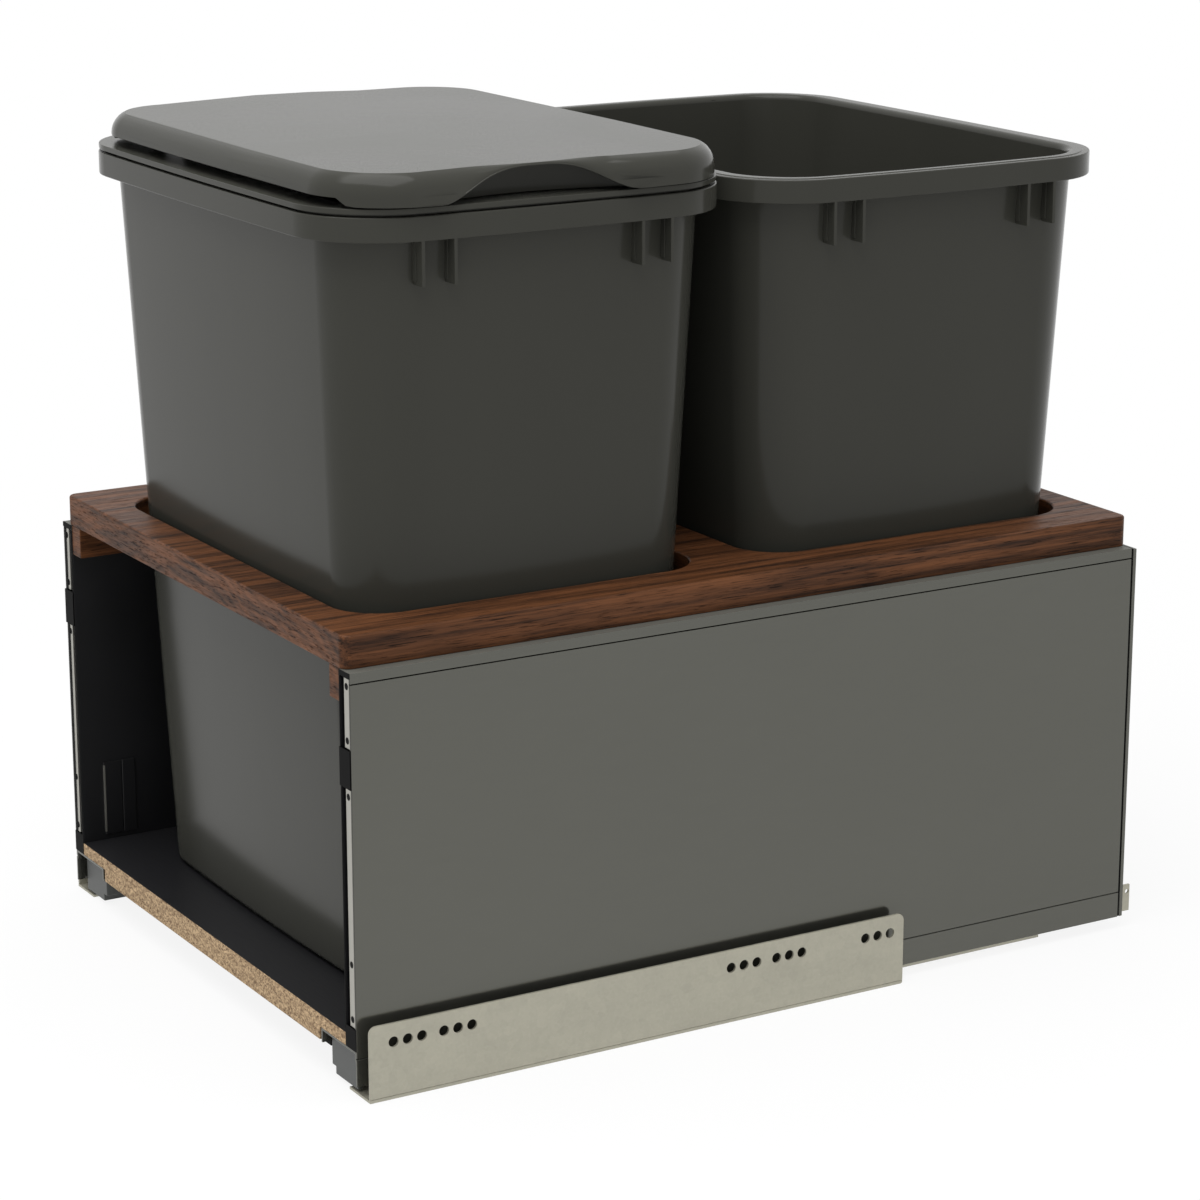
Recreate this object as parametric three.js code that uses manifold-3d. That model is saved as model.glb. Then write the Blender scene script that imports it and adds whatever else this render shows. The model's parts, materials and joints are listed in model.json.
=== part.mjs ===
// Pull-out waste unit for an 18 inch kitchen base cabinet, in millimetres, +Z up.
// A steel-sided drawer on under-mounted full-extension runners carries a walnut board with two
// cut-outs, and a tapered bin stands in each one. The front bin has a hinged lid.
// The drawing frame has X = 0 midway between the runners, Y = 0 at the front ends of the drawer
// sides, growing towards the back, and Z = 0 at the bottom edges of the sides.
import * as THREE from "three";
import { mergeVertices } from "three/addons/utils/BufferGeometryUtils.js";
import Module from "manifold-3d";

// Driving dimensions
const cabinetInnerWidth = 419;
const wallToSideGap = 8.35;
const sideThickness = 12.8;
const sideLength = 540.5;
const sideHeight = 241;
const sheet = 1.0;
const topTrimHeight = 6.2;
const topTrimInnerHeight = 4;
const baseStripHeight = 16.05;
const skinFoot = 3.6;
const ledgeSheet = 1.3;
const lipDrop = 8.6;
const seam = 0.3;
const clearance = 0.3;
const faceTuck = 1.5;

const boardSideInset = 7.15;
const boardOverrun = 0.7;
const boardThickness = 19.05;
const boardEdgeRound = 2.5;
const boardCorner = 2;
const cutoutWidthGap = 2.76;
const cutoutDepthGap = 2.59;
const cutoutShift = 1;
const cutoutRadius = 30;
const cleatWidth = 12.7;
const cleatHeight = 19.2;
const cleatSetback = 0.4;

const floorReach = 3.65;
const floorThickness = 16;
const floorTongue = 8;
const floorRabbet = 37.3;
const floorTop = 28.6;
const ledgeToFloor = 2.3;
const backThickness = 2.4;
const backEar = 1.4;
const backTopInset = 0.6;

const railSheet = 1.5;
const railDrop = 7.9;
const railHeight = 45.4;
const railFront = 3.8;
const railPlateLength = 363.2;
const railBackSetback = 53.5;
const railTail = 4;
const railFlange = 25.5;
const railCorner = 8;
const railLip = 10.9;
const railLipFront = 100;
const holeRadius = 3.15;
const holeHeight = 34.3;
const holeFirst = 28;
const holePitch = 9;
const holeSystem = 32;
const holeStations = [0, 1, 7, 8, 10];

const middleWidth = 12;
const middleHeight = 9;
const middleSheet = 1.4;
const middleFront = 12;
const middleBackSetback = 9;
const railSideGap = 2.15;
const rollerRadius = 1.45;
const rollerLength = 9;
const rollerPitch = 30;
const rollerMargin = 8;
const cageSheet = 0.9;
const cageInset = 0.5;
const lowerCageFront = 130;
const lowerCageLength = 220;
const upperCageFront = 140;
const upperCageLength = 238;
const carrierFront = 9;
const carrierBackSetback = 35.5;
const carrierWall = 1.2;
const carrierInset = 0.3;

const binSideInset = 12;
const binFrontInset = 5.1;
const binBackOverrun = 0.2;
const binGap = 0.7;
const binHeight = 454.7;
const binWall = 2.5;
const binFloor = 3;
const binHeel = 5;
const binHeelStep = 1.5;
const binEdge = 0.8;
const binTaperWidth = 0.0571;
const binTaperDepth = 0.0429;
const binRimOverhangWidth = 9;
const binRimOverhangDepth = 11.4;
const binRimRadius = 48;
const binWallRadius = 39;
const binBaseRadius = 24;
const apronHeight = 14.3;
const apronWall = 2.2;
const finOffsets = [59.5, 79];
const finHeight = 25;
const finWall = 2;
const finRoot = 3.6;
const finRootLift = 2;
const finRootDepth = 2.5;
const finSink = 4;
const finTipInset = 0.2;
const bowWidth = 5;
const bowDepth = 3;

const ringInset = 0.3;
const ringGap = 1.1;
const ringPlate = 3.1;
const ringSeat = 3.5;
const ringInnerMargin = 22;
const ringSkirt = 12;
const ringSkirtGap = 0.4;
const ringSkirtWall = 2;
const lidInset = 5.3;
const lidHeight = 18.7;
const lidWall = 2.5;
const lidEdgeRadius = 8;
const frontSkirtLift = 5.2;
const frontSkirtDepth = 10.5;
const frontSkirtEnd = 18;
const hingeSkirtLift = 1.6;
const scoopHalfLength = 59;
const scoopHeight = 16.9;
const scoopDepth = 12;
const scoopShift = -3.5;
const hingeInset = 7.5;
const hingeRise = 4.2;
const hingeSpacing = 140;
const hingeLugWidth = 12;
const hingePinRadius = 1.5;
const hingePinLength = 26;
const hingeBossRadius = 3.6;
const hingeLugHalf = 3;
const hingeNotchReach = 7;
const hingeNotchRise = 6.5;
const hingeSideGap = 0.5;
const lidSkinLeft = 1.5;
const pressFit = 0.05;

const stripWidth = 6;
const stripThickness = 1.2;
const stripInset = 0.6;
const stripHoleRadius = 1.7;
const stripHoleEnd = 4.5;
const stripTopInset = 3.7;
const upperStripLength = 40;
const stripSpacing = 23.3;
const lowerStripBottom = 34.5;
const lowerStripHoleStep = 32.5;
const capDepth = 14;
const coverThickness = 1;
const coverDepth = 22;
const coverHeight = 49;
const coverFront = 15.5;
const coverBottom = 32;
const lockFront = 4;
const lockLength = 88;
const lockWidth = 23.2;
const lockDrop = 5;
const lockStep = 4.5;
const lockFace = 3.2;
const lockFaceInset = 5.8;
const lipToLock = 3.7;
const leverLength = 30;
const leverWidth = 9;
const leverThickness = 3.7;
const leverSetback = 2;
const leverBossRadius = 4.4;
const damperBackSetback = 7;
const damperLength = 180;
const damperWidth = 22;
const damperHeight = 15.5;
const damperChamfer = 3;
const damperOuterDrop = 1.5;
const damperInnerDrop = 3.5;
const bracketDepth = 12;
const hookReach = 5.4;
const hookSheet = 1.5;
const hookInset = 0.25;
const hookWidth = 13;
const hookBottom = 2.8;
const hookTop = 20.2;
const hookHoleRadius = 1.5;
const hookHoleSetIn = 2;
const hookHoleDrop = 4.5;
const screwHeadRadius = 3.6;
const screwHeadHeight = 2;
const screwShankRadius = 1.8;
const boreSlack = 0.3;
const backScrewLength = 10;
const backScrewBottom = 62;
const backScrewTopInset = 35;
const floorScrewInset = 14;
const floorScrewFront = 130;
const floorScrewBack = 110.5;
const floorScrewLength = 7;
const cleatScrewFront = 60;
const cleatScrewBack = 59.5;
const cleatScrewLength = 32;
// How far a cutter runs past what it cuts, and how deep joined pieces sink into each other
const cutterRun = 5;
const sink = 0.5;

// Places worked out from the driving dimensions
const railFace = cabinetInnerWidth / 2;
const sideOuter = railFace - wallToSideGap;
const sideInner = sideOuter - sideThickness;
const railFloor = -railDrop + railSheet;
const railLength = sideLength - railBackSetback - railFront;
const boardHalfWidth = sideOuter - boardSideInset;
const boardLength = sideLength + boardOverrun;
const floorHalf = sideInner + floorReach;
const tongueBottom = floorTop - floorTongue;
const floorBottom = floorTop - floorThickness;
const ledgeBottom = tongueBottom - ledgeSheet;
const ledgeInner = floorHalf - floorRabbet + ledgeToFloor;
const lockInner = ledgeInner + ledgeSheet + lipToLock;
const leverPivotX = lockInner - clearance - leverBossRadius;
const backFront = sideLength + clearance;
const backFace = backFront + backThickness;
const cageThickness = 2 * rollerRadius + 2 * clearance;
const middleBottom = railFloor + cageThickness;
const middleTop = middleBottom + middleHeight;
const carrierBottom = middleTop + cageThickness;
const railCentre = sideOuter - railSideGap - middleWidth / 2;
const middleLength = railFront + railLength - middleBackSetback - middleFront;
const carrierLength = sideLength - carrierBackSetback - carrierFront;
const damperFront = railFront + railLength - damperBackSetback - damperLength;
const boardTop = sideHeight + boardThickness;
const binBottom = floorTop + clearance;
const rimTop = binBottom + binHeight;
const ringBottom = rimTop + ringGap;
const ringTop = ringBottom + ringPlate;
const binRimHalfWidth = boardHalfWidth - binSideInset;
const binRimHalfDepth = (boardLength + binBackOverrun - binFrontInset - binGap) / 4;
const frontBinY = binFrontInset + binRimHalfDepth;
const rearBinY = frontBinY + 2 * binRimHalfDepth + binGap;
const wallTopWidth = binRimHalfWidth - binRimOverhangWidth;
const wallTopDepth = binRimHalfDepth - binRimOverhangDepth;
const boardTopDrop = rimTop - boardTop;
const cutoutHalfWidth = wallTopWidth - binTaperWidth * boardTopDrop + cutoutWidthGap;
const cutoutHalfDepth = wallTopDepth - binTaperDepth * boardTopDrop + cutoutDepthGap;
const lidBottom = ringTop + clearance;
const lidTop = ringTop + lidHeight;
const hingeX = -(binRimHalfWidth - hingeInset);
const hingeZ = ringTop + hingeRise;
const upperStripTop = sideHeight - stripTopInset;
const lowerStripTop = upperStripTop - upperStripLength - stripSpacing;

const wasm = await Module();
wasm.setup();

// Solids are joined and cut as manifolds, and handed back as plain geometry.
function toManifold(geometry) {
  const bare = geometry.clone();
  bare.deleteAttribute("normal");
  bare.deleteAttribute("uv");
  const merged = mergeVertices(bare, 1e-4);
  const vertProperties = new Float32Array(merged.attributes.position.array);
  const triVerts = new Uint32Array(merged.index.array);
  return new wasm.Manifold(new wasm.Mesh({ numProp: 3, vertProperties, triVerts }));
}

function fromManifold(manifold) {
  const mesh = manifold.getMesh();
  const geometry = new THREE.BufferGeometry();
  geometry.setAttribute("position", new THREE.BufferAttribute(new Float32Array(mesh.vertProperties), 3));
  geometry.setIndex(new THREE.BufferAttribute(new Uint32Array(mesh.triVerts), 1));
  return geometry;
}

function joined(first, ...others) {
  return fromManifold(others.reduce((sum, part) => sum.add(toManifold(part)), toManifold(first)));
}

function cut(first, ...others) {
  return fromManifold(others.reduce((sum, part) => sum.subtract(toManifold(part)), toManifold(first)));
}

function mirrored(geometry) {
  const copy = geometry.index ? geometry.clone() : mergeVertices(geometry);
  copy.applyMatrix4(new THREE.Matrix4().makeScale(-1, 1, 1));
  const index = copy.index.array;
  for (let i = 0; i < index.length; i += 3) {
    [index[i + 1], index[i + 2]] = [index[i + 2], index[i + 1]];
  }
  return copy;
}

// A box from its two corners
function block([x0, y0, z0], [x1, y1, z1]) {
  const box = new THREE.BoxGeometry(x1 - x0, y1 - y0, z1 - z0);
  return box.translate((x0 + x1) / 2, (y0 + y1) / 2, (z0 + z1) / 2);
}

function shapeOf(points) {
  return new THREE.Shape(points.map(([u, v]) => new THREE.Vector2(u, v)));
}

function extruded(shape, depth, bevel = {}) {
  const flat = { depth, bevelEnabled: false, curveSegments: 6, ...bevel };
  return new THREE.ExtrudeGeometry(shape, flat);
}

// An (X, Z) section drawn along Y
function alongY(shape, y0, y1) {
  const solid = extruded(shape, y1 - y0);
  const turn = new THREE.Matrix4().makeBasis(
    new THREE.Vector3(1, 0, 0),
    new THREE.Vector3(0, 0, 1),
    new THREE.Vector3(0, -1, 0),
  );
  return solid.applyMatrix4(turn).translate(0, y1, 0);
}

// A (Y, Z) outline drawn along X
function alongX(shape, x0, x1) {
  const solid = extruded(shape, x1 - x0);
  const turn = new THREE.Matrix4().makeBasis(
    new THREE.Vector3(0, 1, 0),
    new THREE.Vector3(0, 0, 1),
    new THREE.Vector3(1, 0, 0),
  );
  return solid.applyMatrix4(turn).translate(x0, 0, 0);
}

function rod(radius, length, sides = 12) {
  return new THREE.CylinderGeometry(radius, radius, length, sides);
}

function rodX(radius, x0, x1, y, z, sides) {
  return rod(radius, x1 - x0, sides).rotateZ(Math.PI / 2).translate((x0 + x1) / 2, y, z);
}

function rodY(radius, y0, y1, x, z, sides) {
  return rod(radius, y1 - y0, sides).translate(x, (y0 + y1) / 2, z);
}

function rodZ(radius, z0, z1, x, y, sides) {
  return rod(radius, z1 - z0, sides).rotateX(Math.PI / 2).translate(x, y, (z0 + z1) / 2);
}

// Rounded rectangle with gently bowed sides, anticlockwise from +X
function bowedOutline({ halfWidth, halfDepth, radius, z }) {
  const cornerSteps = 7;
  const sideSteps = 4;
  const width = halfWidth - bowWidth;
  const depth = halfDepth - bowDepth;
  const points = [];
  for (let corner = 0; corner < 4; corner++) {
    const signX = corner === 0 || corner === 3 ? 1 : -1;
    const signY = corner < 2 ? 1 : -1;
    const start = (corner * Math.PI) / 2;
    for (let step = 0; step <= cornerSteps; step++) {
      const angle = start + (step / cornerSteps) * (Math.PI / 2);
      points.push([
        signX * (width - radius) + radius * Math.cos(angle),
        signY * (depth - radius) + radius * Math.sin(angle),
      ]);
    }
    const [fromX, fromY] = points[points.length - 1];
    const next = start + Math.PI / 2;
    const nextSignX = corner === 2 || corner === 3 ? 1 : -1;
    const nextSignY = corner === 0 || corner === 3 ? 1 : -1;
    const toX = nextSignX * (width - radius) + radius * Math.cos(next);
    const toY = nextSignY * (depth - radius) + radius * Math.sin(next);
    for (let step = 1; step < sideSteps; step++) {
      const share = step / sideSteps;
      points.push([fromX + (toX - fromX) * share, fromY + (toY - fromY) * share]);
    }
  }
  return points.map(([x, y]) => {
    const shareX = Math.min(1, Math.abs(x) / width);
    const shareY = Math.min(1, Math.abs(y) / depth);
    const bulgeX = Math.sign(x) * bowWidth * (1 - shareY ** 2) * shareX ** 4;
    const bulgeY = Math.sign(y) * bowDepth * (1 - shareX ** 2) * shareY ** 4;
    return new THREE.Vector3(x + bulgeX, y + bulgeY, z);
  });
}

// A skin through a run of sections: capped at both ends, or closed on itself like a ring
function loft(sections, closed = false) {
  const rings = sections.map(bowedOutline);
  const count = rings[0].length;
  const positions = rings.flat().flatMap((point) => point.toArray());
  const index = [];
  const spans = closed ? rings.length : rings.length - 1;
  for (let ring = 0; ring < spans; ring++) {
    const low = ring * count;
    const high = ((ring + 1) % rings.length) * count;
    for (let i = 0; i < count; i++) {
      const j = (i + 1) % count;
      index.push(low + i, low + j, high + j, low + i, high + j, high + i);
    }
  }
  if (!closed) {
    const first = positions.length / 3;
    positions.push(0, 0, sections[0].z, 0, 0, sections[sections.length - 1].z);
    const lastRing = (rings.length - 1) * count;
    for (let i = 0; i < count; i++) {
      const j = (i + 1) % count;
      index.push(first, j, i, first + 1, lastRing + i, lastRing + j);
    }
  }
  const geometry = new THREE.BufferGeometry();
  geometry.setAttribute("position", new THREE.Float32BufferAttribute(positions, 3));
  geometry.setIndex(index);
  return geometry;
}

// Finishes
const finishes = {
  sideGrey: { color: 0x61625a, roughness: 0.45, metalness: 0.3 },
  galvanised: { color: 0xa09e91, roughness: 0.5, metalness: 0.7 },
  darkSteel: { color: 0x2b2c2d, roughness: 0.5, metalness: 0.4 },
  zinc: { color: 0xc9c8c0, roughness: 0.35, metalness: 0.8 },
  blackPlastic: { color: 0x141414, roughness: 0.5, metalness: 0 },
  greyPlastic: { color: 0x54565a, roughness: 0.5, metalness: 0 },
  binPlastic: { color: 0x4a4a48, roughness: 0.45, metalness: 0 },
  walnut: { color: 0x6b4028, roughness: 0.55, metalness: 0 },
  chipboard: { color: 0xb59a72, roughness: 0.85, metalness: 0 },
};
const materials = Object.fromEntries(
  Object.entries(finishes).map(([name, values]) => [name, new THREE.MeshStandardMaterial(values)]),
);

const model = new THREE.Group();
// The origin is under the middle of the whole, on the surface that the runners stand on.
model.position.set(0, -(backFace + hookReach) / 2, railDrop);

function place(name, geometry, finish, group = model) {
  const mesh = new THREE.Mesh(geometry, materials[finish]);
  mesh.name = name;
  group.add(mesh);
}

// A right-hand piece and its mirror image
function placePair(name, geometry, finish) {
  place(`${name}_right`, geometry, finish);
  place(`${name}_left`, mirrored(geometry), finish);
}

// Cabinet rail: a tall perforated plate screwed to the cabinet wall, a flange that carries the
// drawer, and behind them an angle that holds the soft-close unit
function cabinetRail() {
  const back = railFront + railLength;
  const plateBack = railFront + railPlateLength;
  const top = railHeight - railDrop;
  const outline = new THREE.Shape();
  outline.moveTo(railFront, -railDrop);
  outline.lineTo(plateBack, -railDrop);
  outline.lineTo(plateBack, top - railCorner);
  outline.absarc(plateBack - railCorner, top - railCorner, railCorner, 0, Math.PI / 2, false);
  outline.lineTo(railFront + railCorner, top);
  outline.absarc(railFront + railCorner, top - railCorner, railCorner, Math.PI / 2, Math.PI, false);
  outline.closePath();
  for (const station of holeStations) {
    for (const shift of [-holePitch, 0, holePitch]) {
      const centre = holeFirst + station * holeSystem + shift;
      if (centre + holePitch > plateBack) continue;
      const hole = new THREE.Path();
      hole.absarc(centre, holeHeight - railDrop, holeRadius, 0, 2 * Math.PI, true);
      outline.holes.push(hole);
    }
  }
  const plate = alongX(outline, railFace - railSheet, railFace);
  const flange = block(
    [railFace - railFlange, railFront, -railDrop],
    [railFace - railSheet / 2, plateBack, railFloor],
  );
  const tail = block(
    [railFace - railFlange, plateBack - railSheet, -railDrop],
    [railFace - railFlange + railTail, back, railFloor],
  );
  const lip = block(
    [railFace - railFlange, railLipFront, -railDrop],
    [railFace - railFlange + railSheet, back, -railDrop + railLip],
  );
  return joined(plate, flange, tail, lip);
}

// Middle rail: a C section, open towards the inside
function middleRail() {
  const outer = railCentre + middleWidth / 2;
  const inner = railCentre - middleWidth / 2;
  const section = shapeOf([
    [inner, middleBottom],
    [outer, middleBottom],
    [outer, middleTop],
    [inner, middleTop],
    [inner, middleTop - middleSheet],
    [outer - middleSheet, middleTop - middleSheet],
    [outer - middleSheet, middleBottom + middleSheet],
    [inner, middleBottom + middleSheet],
  ]);
  return alongY(section, middleFront, middleFront + middleLength);
}

// Roller cage: a thin strip with steel rollers set through it
function rollerCage(front, length, centreZ) {
  const strip = block(
    [railCentre - middleWidth / 2 + cageInset, front, centreZ - cageSheet / 2],
    [railCentre + middleWidth / 2 - cageInset, front + length, centreZ + cageSheet / 2],
  );
  const rollers = [];
  for (let y = front + rollerMargin; y <= front + length - rollerMargin; y += rollerPitch) {
    const half = rollerLength / 2;
    rollers.push(rodX(rollerRadius, railCentre - half, railCentre + half, y, centreZ, 8));
  }
  return joined(strip, ...rollers);
}

// Drawer rail: an inverted channel under the ledge of the side's base profile
function carrierRail() {
  const outer = railCentre + middleWidth / 2 - carrierInset;
  const inner = railCentre - middleWidth / 2;
  const wall = carrierWall;
  const section = shapeOf([
    [inner, carrierBottom],
    [outer, carrierBottom],
    [outer, ledgeBottom],
    [outer - wall, ledgeBottom],
    [outer - wall, carrierBottom + wall],
    [inner + wall, carrierBottom + wall],
    [inner + wall, ledgeBottom],
    [inner, ledgeBottom],
  ]);
  return alongY(section, carrierFront, carrierFront + carrierLength);
}

// Soft-close unit: a closed housing fixed along the inside of the cabinet rail
function softCloseUnit() {
  const outer = railFace - railFlange;
  const inner = outer - damperWidth;
  const top = damperHeight - railDrop;
  const section = shapeOf([
    [inner, -railDrop],
    [outer, -railDrop],
    [outer, top - damperOuterDrop],
    [outer - damperChamfer, top],
    [inner + damperChamfer, top],
    [inner, top - damperInnerDrop],
  ]);
  return alongY(section, damperFront, damperFront + damperLength);
}

// Base profile: the visible bottom strip, and the ledge that the drawer floor rests on
function baseProfile() {
  const web = sideOuter - sheet;
  const section = shapeOf([
    [sideOuter, 0],
    [sideOuter, baseStripHeight],
    [web, baseStripHeight],
    [web, tongueBottom],
    [ledgeInner, tongueBottom],
    [ledgeInner, tongueBottom - lipDrop],
    [ledgeInner + ledgeSheet, tongueBottom - lipDrop],
    [ledgeInner + ledgeSheet, ledgeBottom],
    [web - ledgeSheet, ledgeBottom],
    [web - ledgeSheet, baseStripHeight - ledgeSheet],
    [sideOuter - ledgeSheet, baseStripHeight - ledgeSheet],
    [sideOuter - ledgeSheet, 0],
  ]);
  return alongY(section, 0, sideLength);
}

function outerSkin() {
  const top = sideHeight - topTrimHeight - seam / 2;
  return block([sideOuter - sheet, 0, baseStripHeight + seam], [sideOuter, sideLength, top]);
}

function innerSkin() {
  const foot = skinFoot;
  const top = sideHeight - topTrimInnerHeight - seam;
  const section = shapeOf([
    [sideInner, floorTop],
    [sideInner + foot, floorTop],
    [sideInner + foot, floorTop + sheet],
    [sideInner + sheet, floorTop + sheet],
    [sideInner + sheet, top],
    [sideInner, top],
  ]);
  return alongY(section, 0, sideLength);
}

function topTrim() {
  const lip = sideHeight - topTrimInnerHeight;
  const section = shapeOf([
    [sideInner, lip],
    [sideInner + sheet, lip],
    [sideInner + sheet, sideHeight - sheet],
    [sideOuter - sheet, sideHeight - sheet],
    [sideOuter - sheet, sideHeight - topTrimHeight + seam / 2],
    [sideOuter, sideHeight - topTrimHeight + seam / 2],
    [sideOuter, sideHeight],
    [sideInner, sideHeight],
  ]);
  return alongY(section, 0, sideLength);
}

// The plastic plug in the front end of a side, and the bracket in its back end, share a section.
function endSection() {
  const foot = sideInner + skinFoot + clearance;
  const inner = sideInner + sheet + clearance;
  const outer = sideOuter - sheet - clearance;
  return shapeOf([
    [foot, tongueBottom + clearance],
    [outer, tongueBottom + clearance],
    [outer, sideHeight - sheet - clearance],
    [inner, sideHeight - sheet - clearance],
    [inner, floorTop + sheet + clearance],
    [foot, floorTop + sheet + clearance],
  ]);
}

function frontCap() {
  return alongY(endSection(), faceTuck, faceTuck + capDepth);
}

function frontStrip(bottom, top, holes) {
  const outer = sideOuter - sheet - stripInset;
  const inner = outer - stripWidth;
  const strip = block([inner, faceTuck - stripThickness, bottom], [outer, faceTuck, top]);
  const middle = (inner + outer) / 2;
  const bores = holes.map((z) =>
    rodY(stripHoleRadius, -cutterRun, faceTuck + cutterRun, middle, z, 10));
  return cut(strip, ...bores);
}

function upperStrip() {
  const bottom = upperStripTop - upperStripLength;
  return frontStrip(bottom, upperStripTop, [bottom + stripHoleEnd, upperStripTop - stripHoleEnd]);
}

function lowerStrip() {
  const first = lowerStripBottom + stripHoleEnd;
  const last = lowerStripTop - stripHoleEnd;
  return frontStrip(lowerStripBottom, lowerStripTop, [first, first + lowerStripHoleStep, last]);
}

function adjusterCover() {
  return block(
    [sideInner - coverThickness, coverFront, coverBottom],
    [sideInner, coverFront + coverDepth, coverBottom + coverHeight],
  );
}

// Locking device: joins the front end of the drawer to its rails. A front plate closes the
// profile, and the body behind it is stepped at its lower inside corner.
function lockingDevice() {
  const inner = lockInner;
  const outer = inner + lockWidth;
  const plateOuter = sideOuter - ledgeSheet - lockFaceInset;
  const step = lockStep;
  const body = shapeOf([
    [inner + step, -lockDrop],
    [outer, -lockDrop],
    [outer, ledgeBottom],
    [inner, ledgeBottom],
    [inner, -lockDrop + step],
    [inner + step, -lockDrop + step],
  ]);
  const face = shapeOf([
    [inner + step, -lockDrop],
    [plateOuter, -lockDrop],
    [plateOuter, ledgeBottom],
    [inner, ledgeBottom],
    [inner, -lockDrop + step],
    [inner + step, -lockDrop + step],
  ]);
  return joined(
    alongY(body, lockFront, lockFront + lockLength),
    alongY(face, lockFront, lockFront + lockFace),
  );
}

// Release lever: a flat blade that turns on a round boss beside the locking device
function releaseLever() {
  const outer = ledgeInner - clearance;
  const top = tongueBottom - lipDrop - clearance;
  const bottom = top - leverThickness;
  const front = lockFront + leverSetback;
  return joined(
    block([outer - leverWidth, front, bottom], [outer, front + leverLength, top]),
    rodZ(leverBossRadius, bottom, top, leverPivotX, front + leverLength, 16),
  );
}

// Screws: a flat round head and a shank
function backScrew(x, z) {
  return joined(
    rodY(screwHeadRadius, backFace, backFace + screwHeadHeight, x, z, 12),
    rodY(screwShankRadius, backFace - backScrewLength, backFace + sink, x, z, 8),
  );
}

function screwFromBelow(x, y, seat, length) {
  return joined(
    rodZ(screwHeadRadius, seat - screwHeadHeight, seat, x, y, 12),
    rodZ(screwShankRadius, seat - sink, seat + length, x, y, 8),
  );
}

const backScrewX = sideOuter - sideThickness / 2;
const backScrewHeights = [backScrewBottom, sideHeight - backScrewTopInset];
const floorScrewX = ledgeInner + floorScrewInset;
const floorScrewYs = [floorScrewFront, sideLength - floorScrewBack];
const cleatScrewYs = [cleatScrewFront, sideLength - cleatScrewBack];

function floorBores(sign) {
  return floorScrewYs.map((y) =>
    rodZ(screwShankRadius + boreSlack, ledgeBottom - cutterRun,
      ledgeBottom + floorScrewLength + boreSlack, sign * floorScrewX, y, 8));
}

// Drawer floor: a panel with thinned tongues that lie on the ledges
function drawerFloor() {
  const thick = floorHalf - floorRabbet;
  const section = shapeOf([
    [-thick, floorBottom],
    [thick, floorBottom],
    [thick, tongueBottom],
    [floorHalf, tongueBottom],
    [floorHalf, floorTop],
    [-floorHalf, floorTop],
    [-floorHalf, tongueBottom],
    [-thick, tongueBottom],
  ]);
  return cut(alongY(section, 0, sideLength), ...floorBores(1), ...floorBores(-1));
}

// Back panel, with an ear down to the bottom edge of each side
function backPanel() {
  const ear = backEar;
  const top = sideHeight - backTopInset;
  const panel = shapeOf([
    [-sideOuter + ear, floorBottom],
    [sideOuter - ear, floorBottom],
    [sideOuter - ear, 0],
    [sideOuter, 0],
    [sideOuter, top],
    [-sideOuter, top],
    [-sideOuter, 0],
    [-sideOuter + ear, 0],
  ]);
  const bores = [-1, 1].flatMap((sign) => backScrewHeights.map((z) =>
    rodY(screwShankRadius + boreSlack, backFront - cutterRun, backFace + cutterRun,
      sign * backScrewX, z, 8)));
  return cut(alongY(panel, backFront, backFace), ...bores);
}

function backBracket() {
  const bores = backScrewHeights.map((z) =>
    rodY(screwShankRadius + boreSlack, backFace - backScrewLength - boreSlack, backFace,
      backScrewX, z, 8));
  return cut(alongY(endSection(), sideLength - bracketDepth, sideLength), ...bores);
}

// Rear hook: an angle on the back panel that the runner's catch grips
function rearHook() {
  const outer = sideOuter - hookInset;
  const foot = block(
    [outer - hookWidth, backFace, floorBottom + clearance],
    [outer, backFace + hookSheet, hookTop],
  );
  const ear = block(
    [outer - hookSheet, backFace, hookBottom],
    [outer, backFace + hookReach, hookTop],
  );
  const hole = rodX(hookHoleRadius, outer - 2 * hookSheet, outer + hookSheet,
    backFace + hookReach - hookHoleSetIn, hookTop - hookHoleDrop, 10);
  return cut(joined(foot, ear), hole);
}

// Walnut board with two cut-outs and softened edges
function roundedRectangle(path, centreX, centreY, halfWidth, halfDepth, radius) {
  const right = centreX + halfWidth;
  const left = centreX - halfWidth;
  const far = centreY + halfDepth;
  const near = centreY - halfDepth;
  path.moveTo(left + radius, near);
  path.lineTo(right - radius, near);
  path.absarc(right - radius, near + radius, radius, -Math.PI / 2, 0, false);
  path.lineTo(right, far - radius);
  path.absarc(right - radius, far - radius, radius, 0, Math.PI / 2, false);
  path.lineTo(left + radius, far);
  path.absarc(left + radius, far - radius, radius, Math.PI / 2, Math.PI, false);
  path.lineTo(left, near + radius);
  path.absarc(left + radius, near + radius, radius, Math.PI, 1.5 * Math.PI, false);
  return path;
}

function walnutBoard() {
  const round = boardEdgeRound;
  const outline = roundedRectangle(
    new THREE.Shape(), 0, boardLength / 2, boardHalfWidth - round, boardLength / 2 - round,
    boardCorner);
  for (const centre of [frontBinY, rearBinY - cutoutShift]) {
    outline.holes.push(roundedRectangle(
      new THREE.Path(), 0, centre, cutoutHalfWidth + round, cutoutHalfDepth + round,
      cutoutRadius + round));
  }
  const bevel = {
    bevelEnabled: true, bevelThickness: round, bevelSize: round, bevelSegments: 3, curveSegments: 8,
  };
  const rounded = extruded(outline, boardThickness, bevel).translate(0, 0, sideHeight - round);
  const belowBoard = block(
    [-2 * boardHalfWidth, -cutterRun, 0],
    [2 * boardHalfWidth, boardLength + cutterRun, sideHeight],
  );
  const bores = [-1, 1].flatMap((sign) => cleatScrewYs.map((y) =>
    rodZ(screwShankRadius + boreSlack, sideHeight - cutterRun, cleatScrewTop + boreSlack,
      sign * cleatCentre, y, 8)));
  return cut(rounded, belowBoard, ...bores);
}

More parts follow.
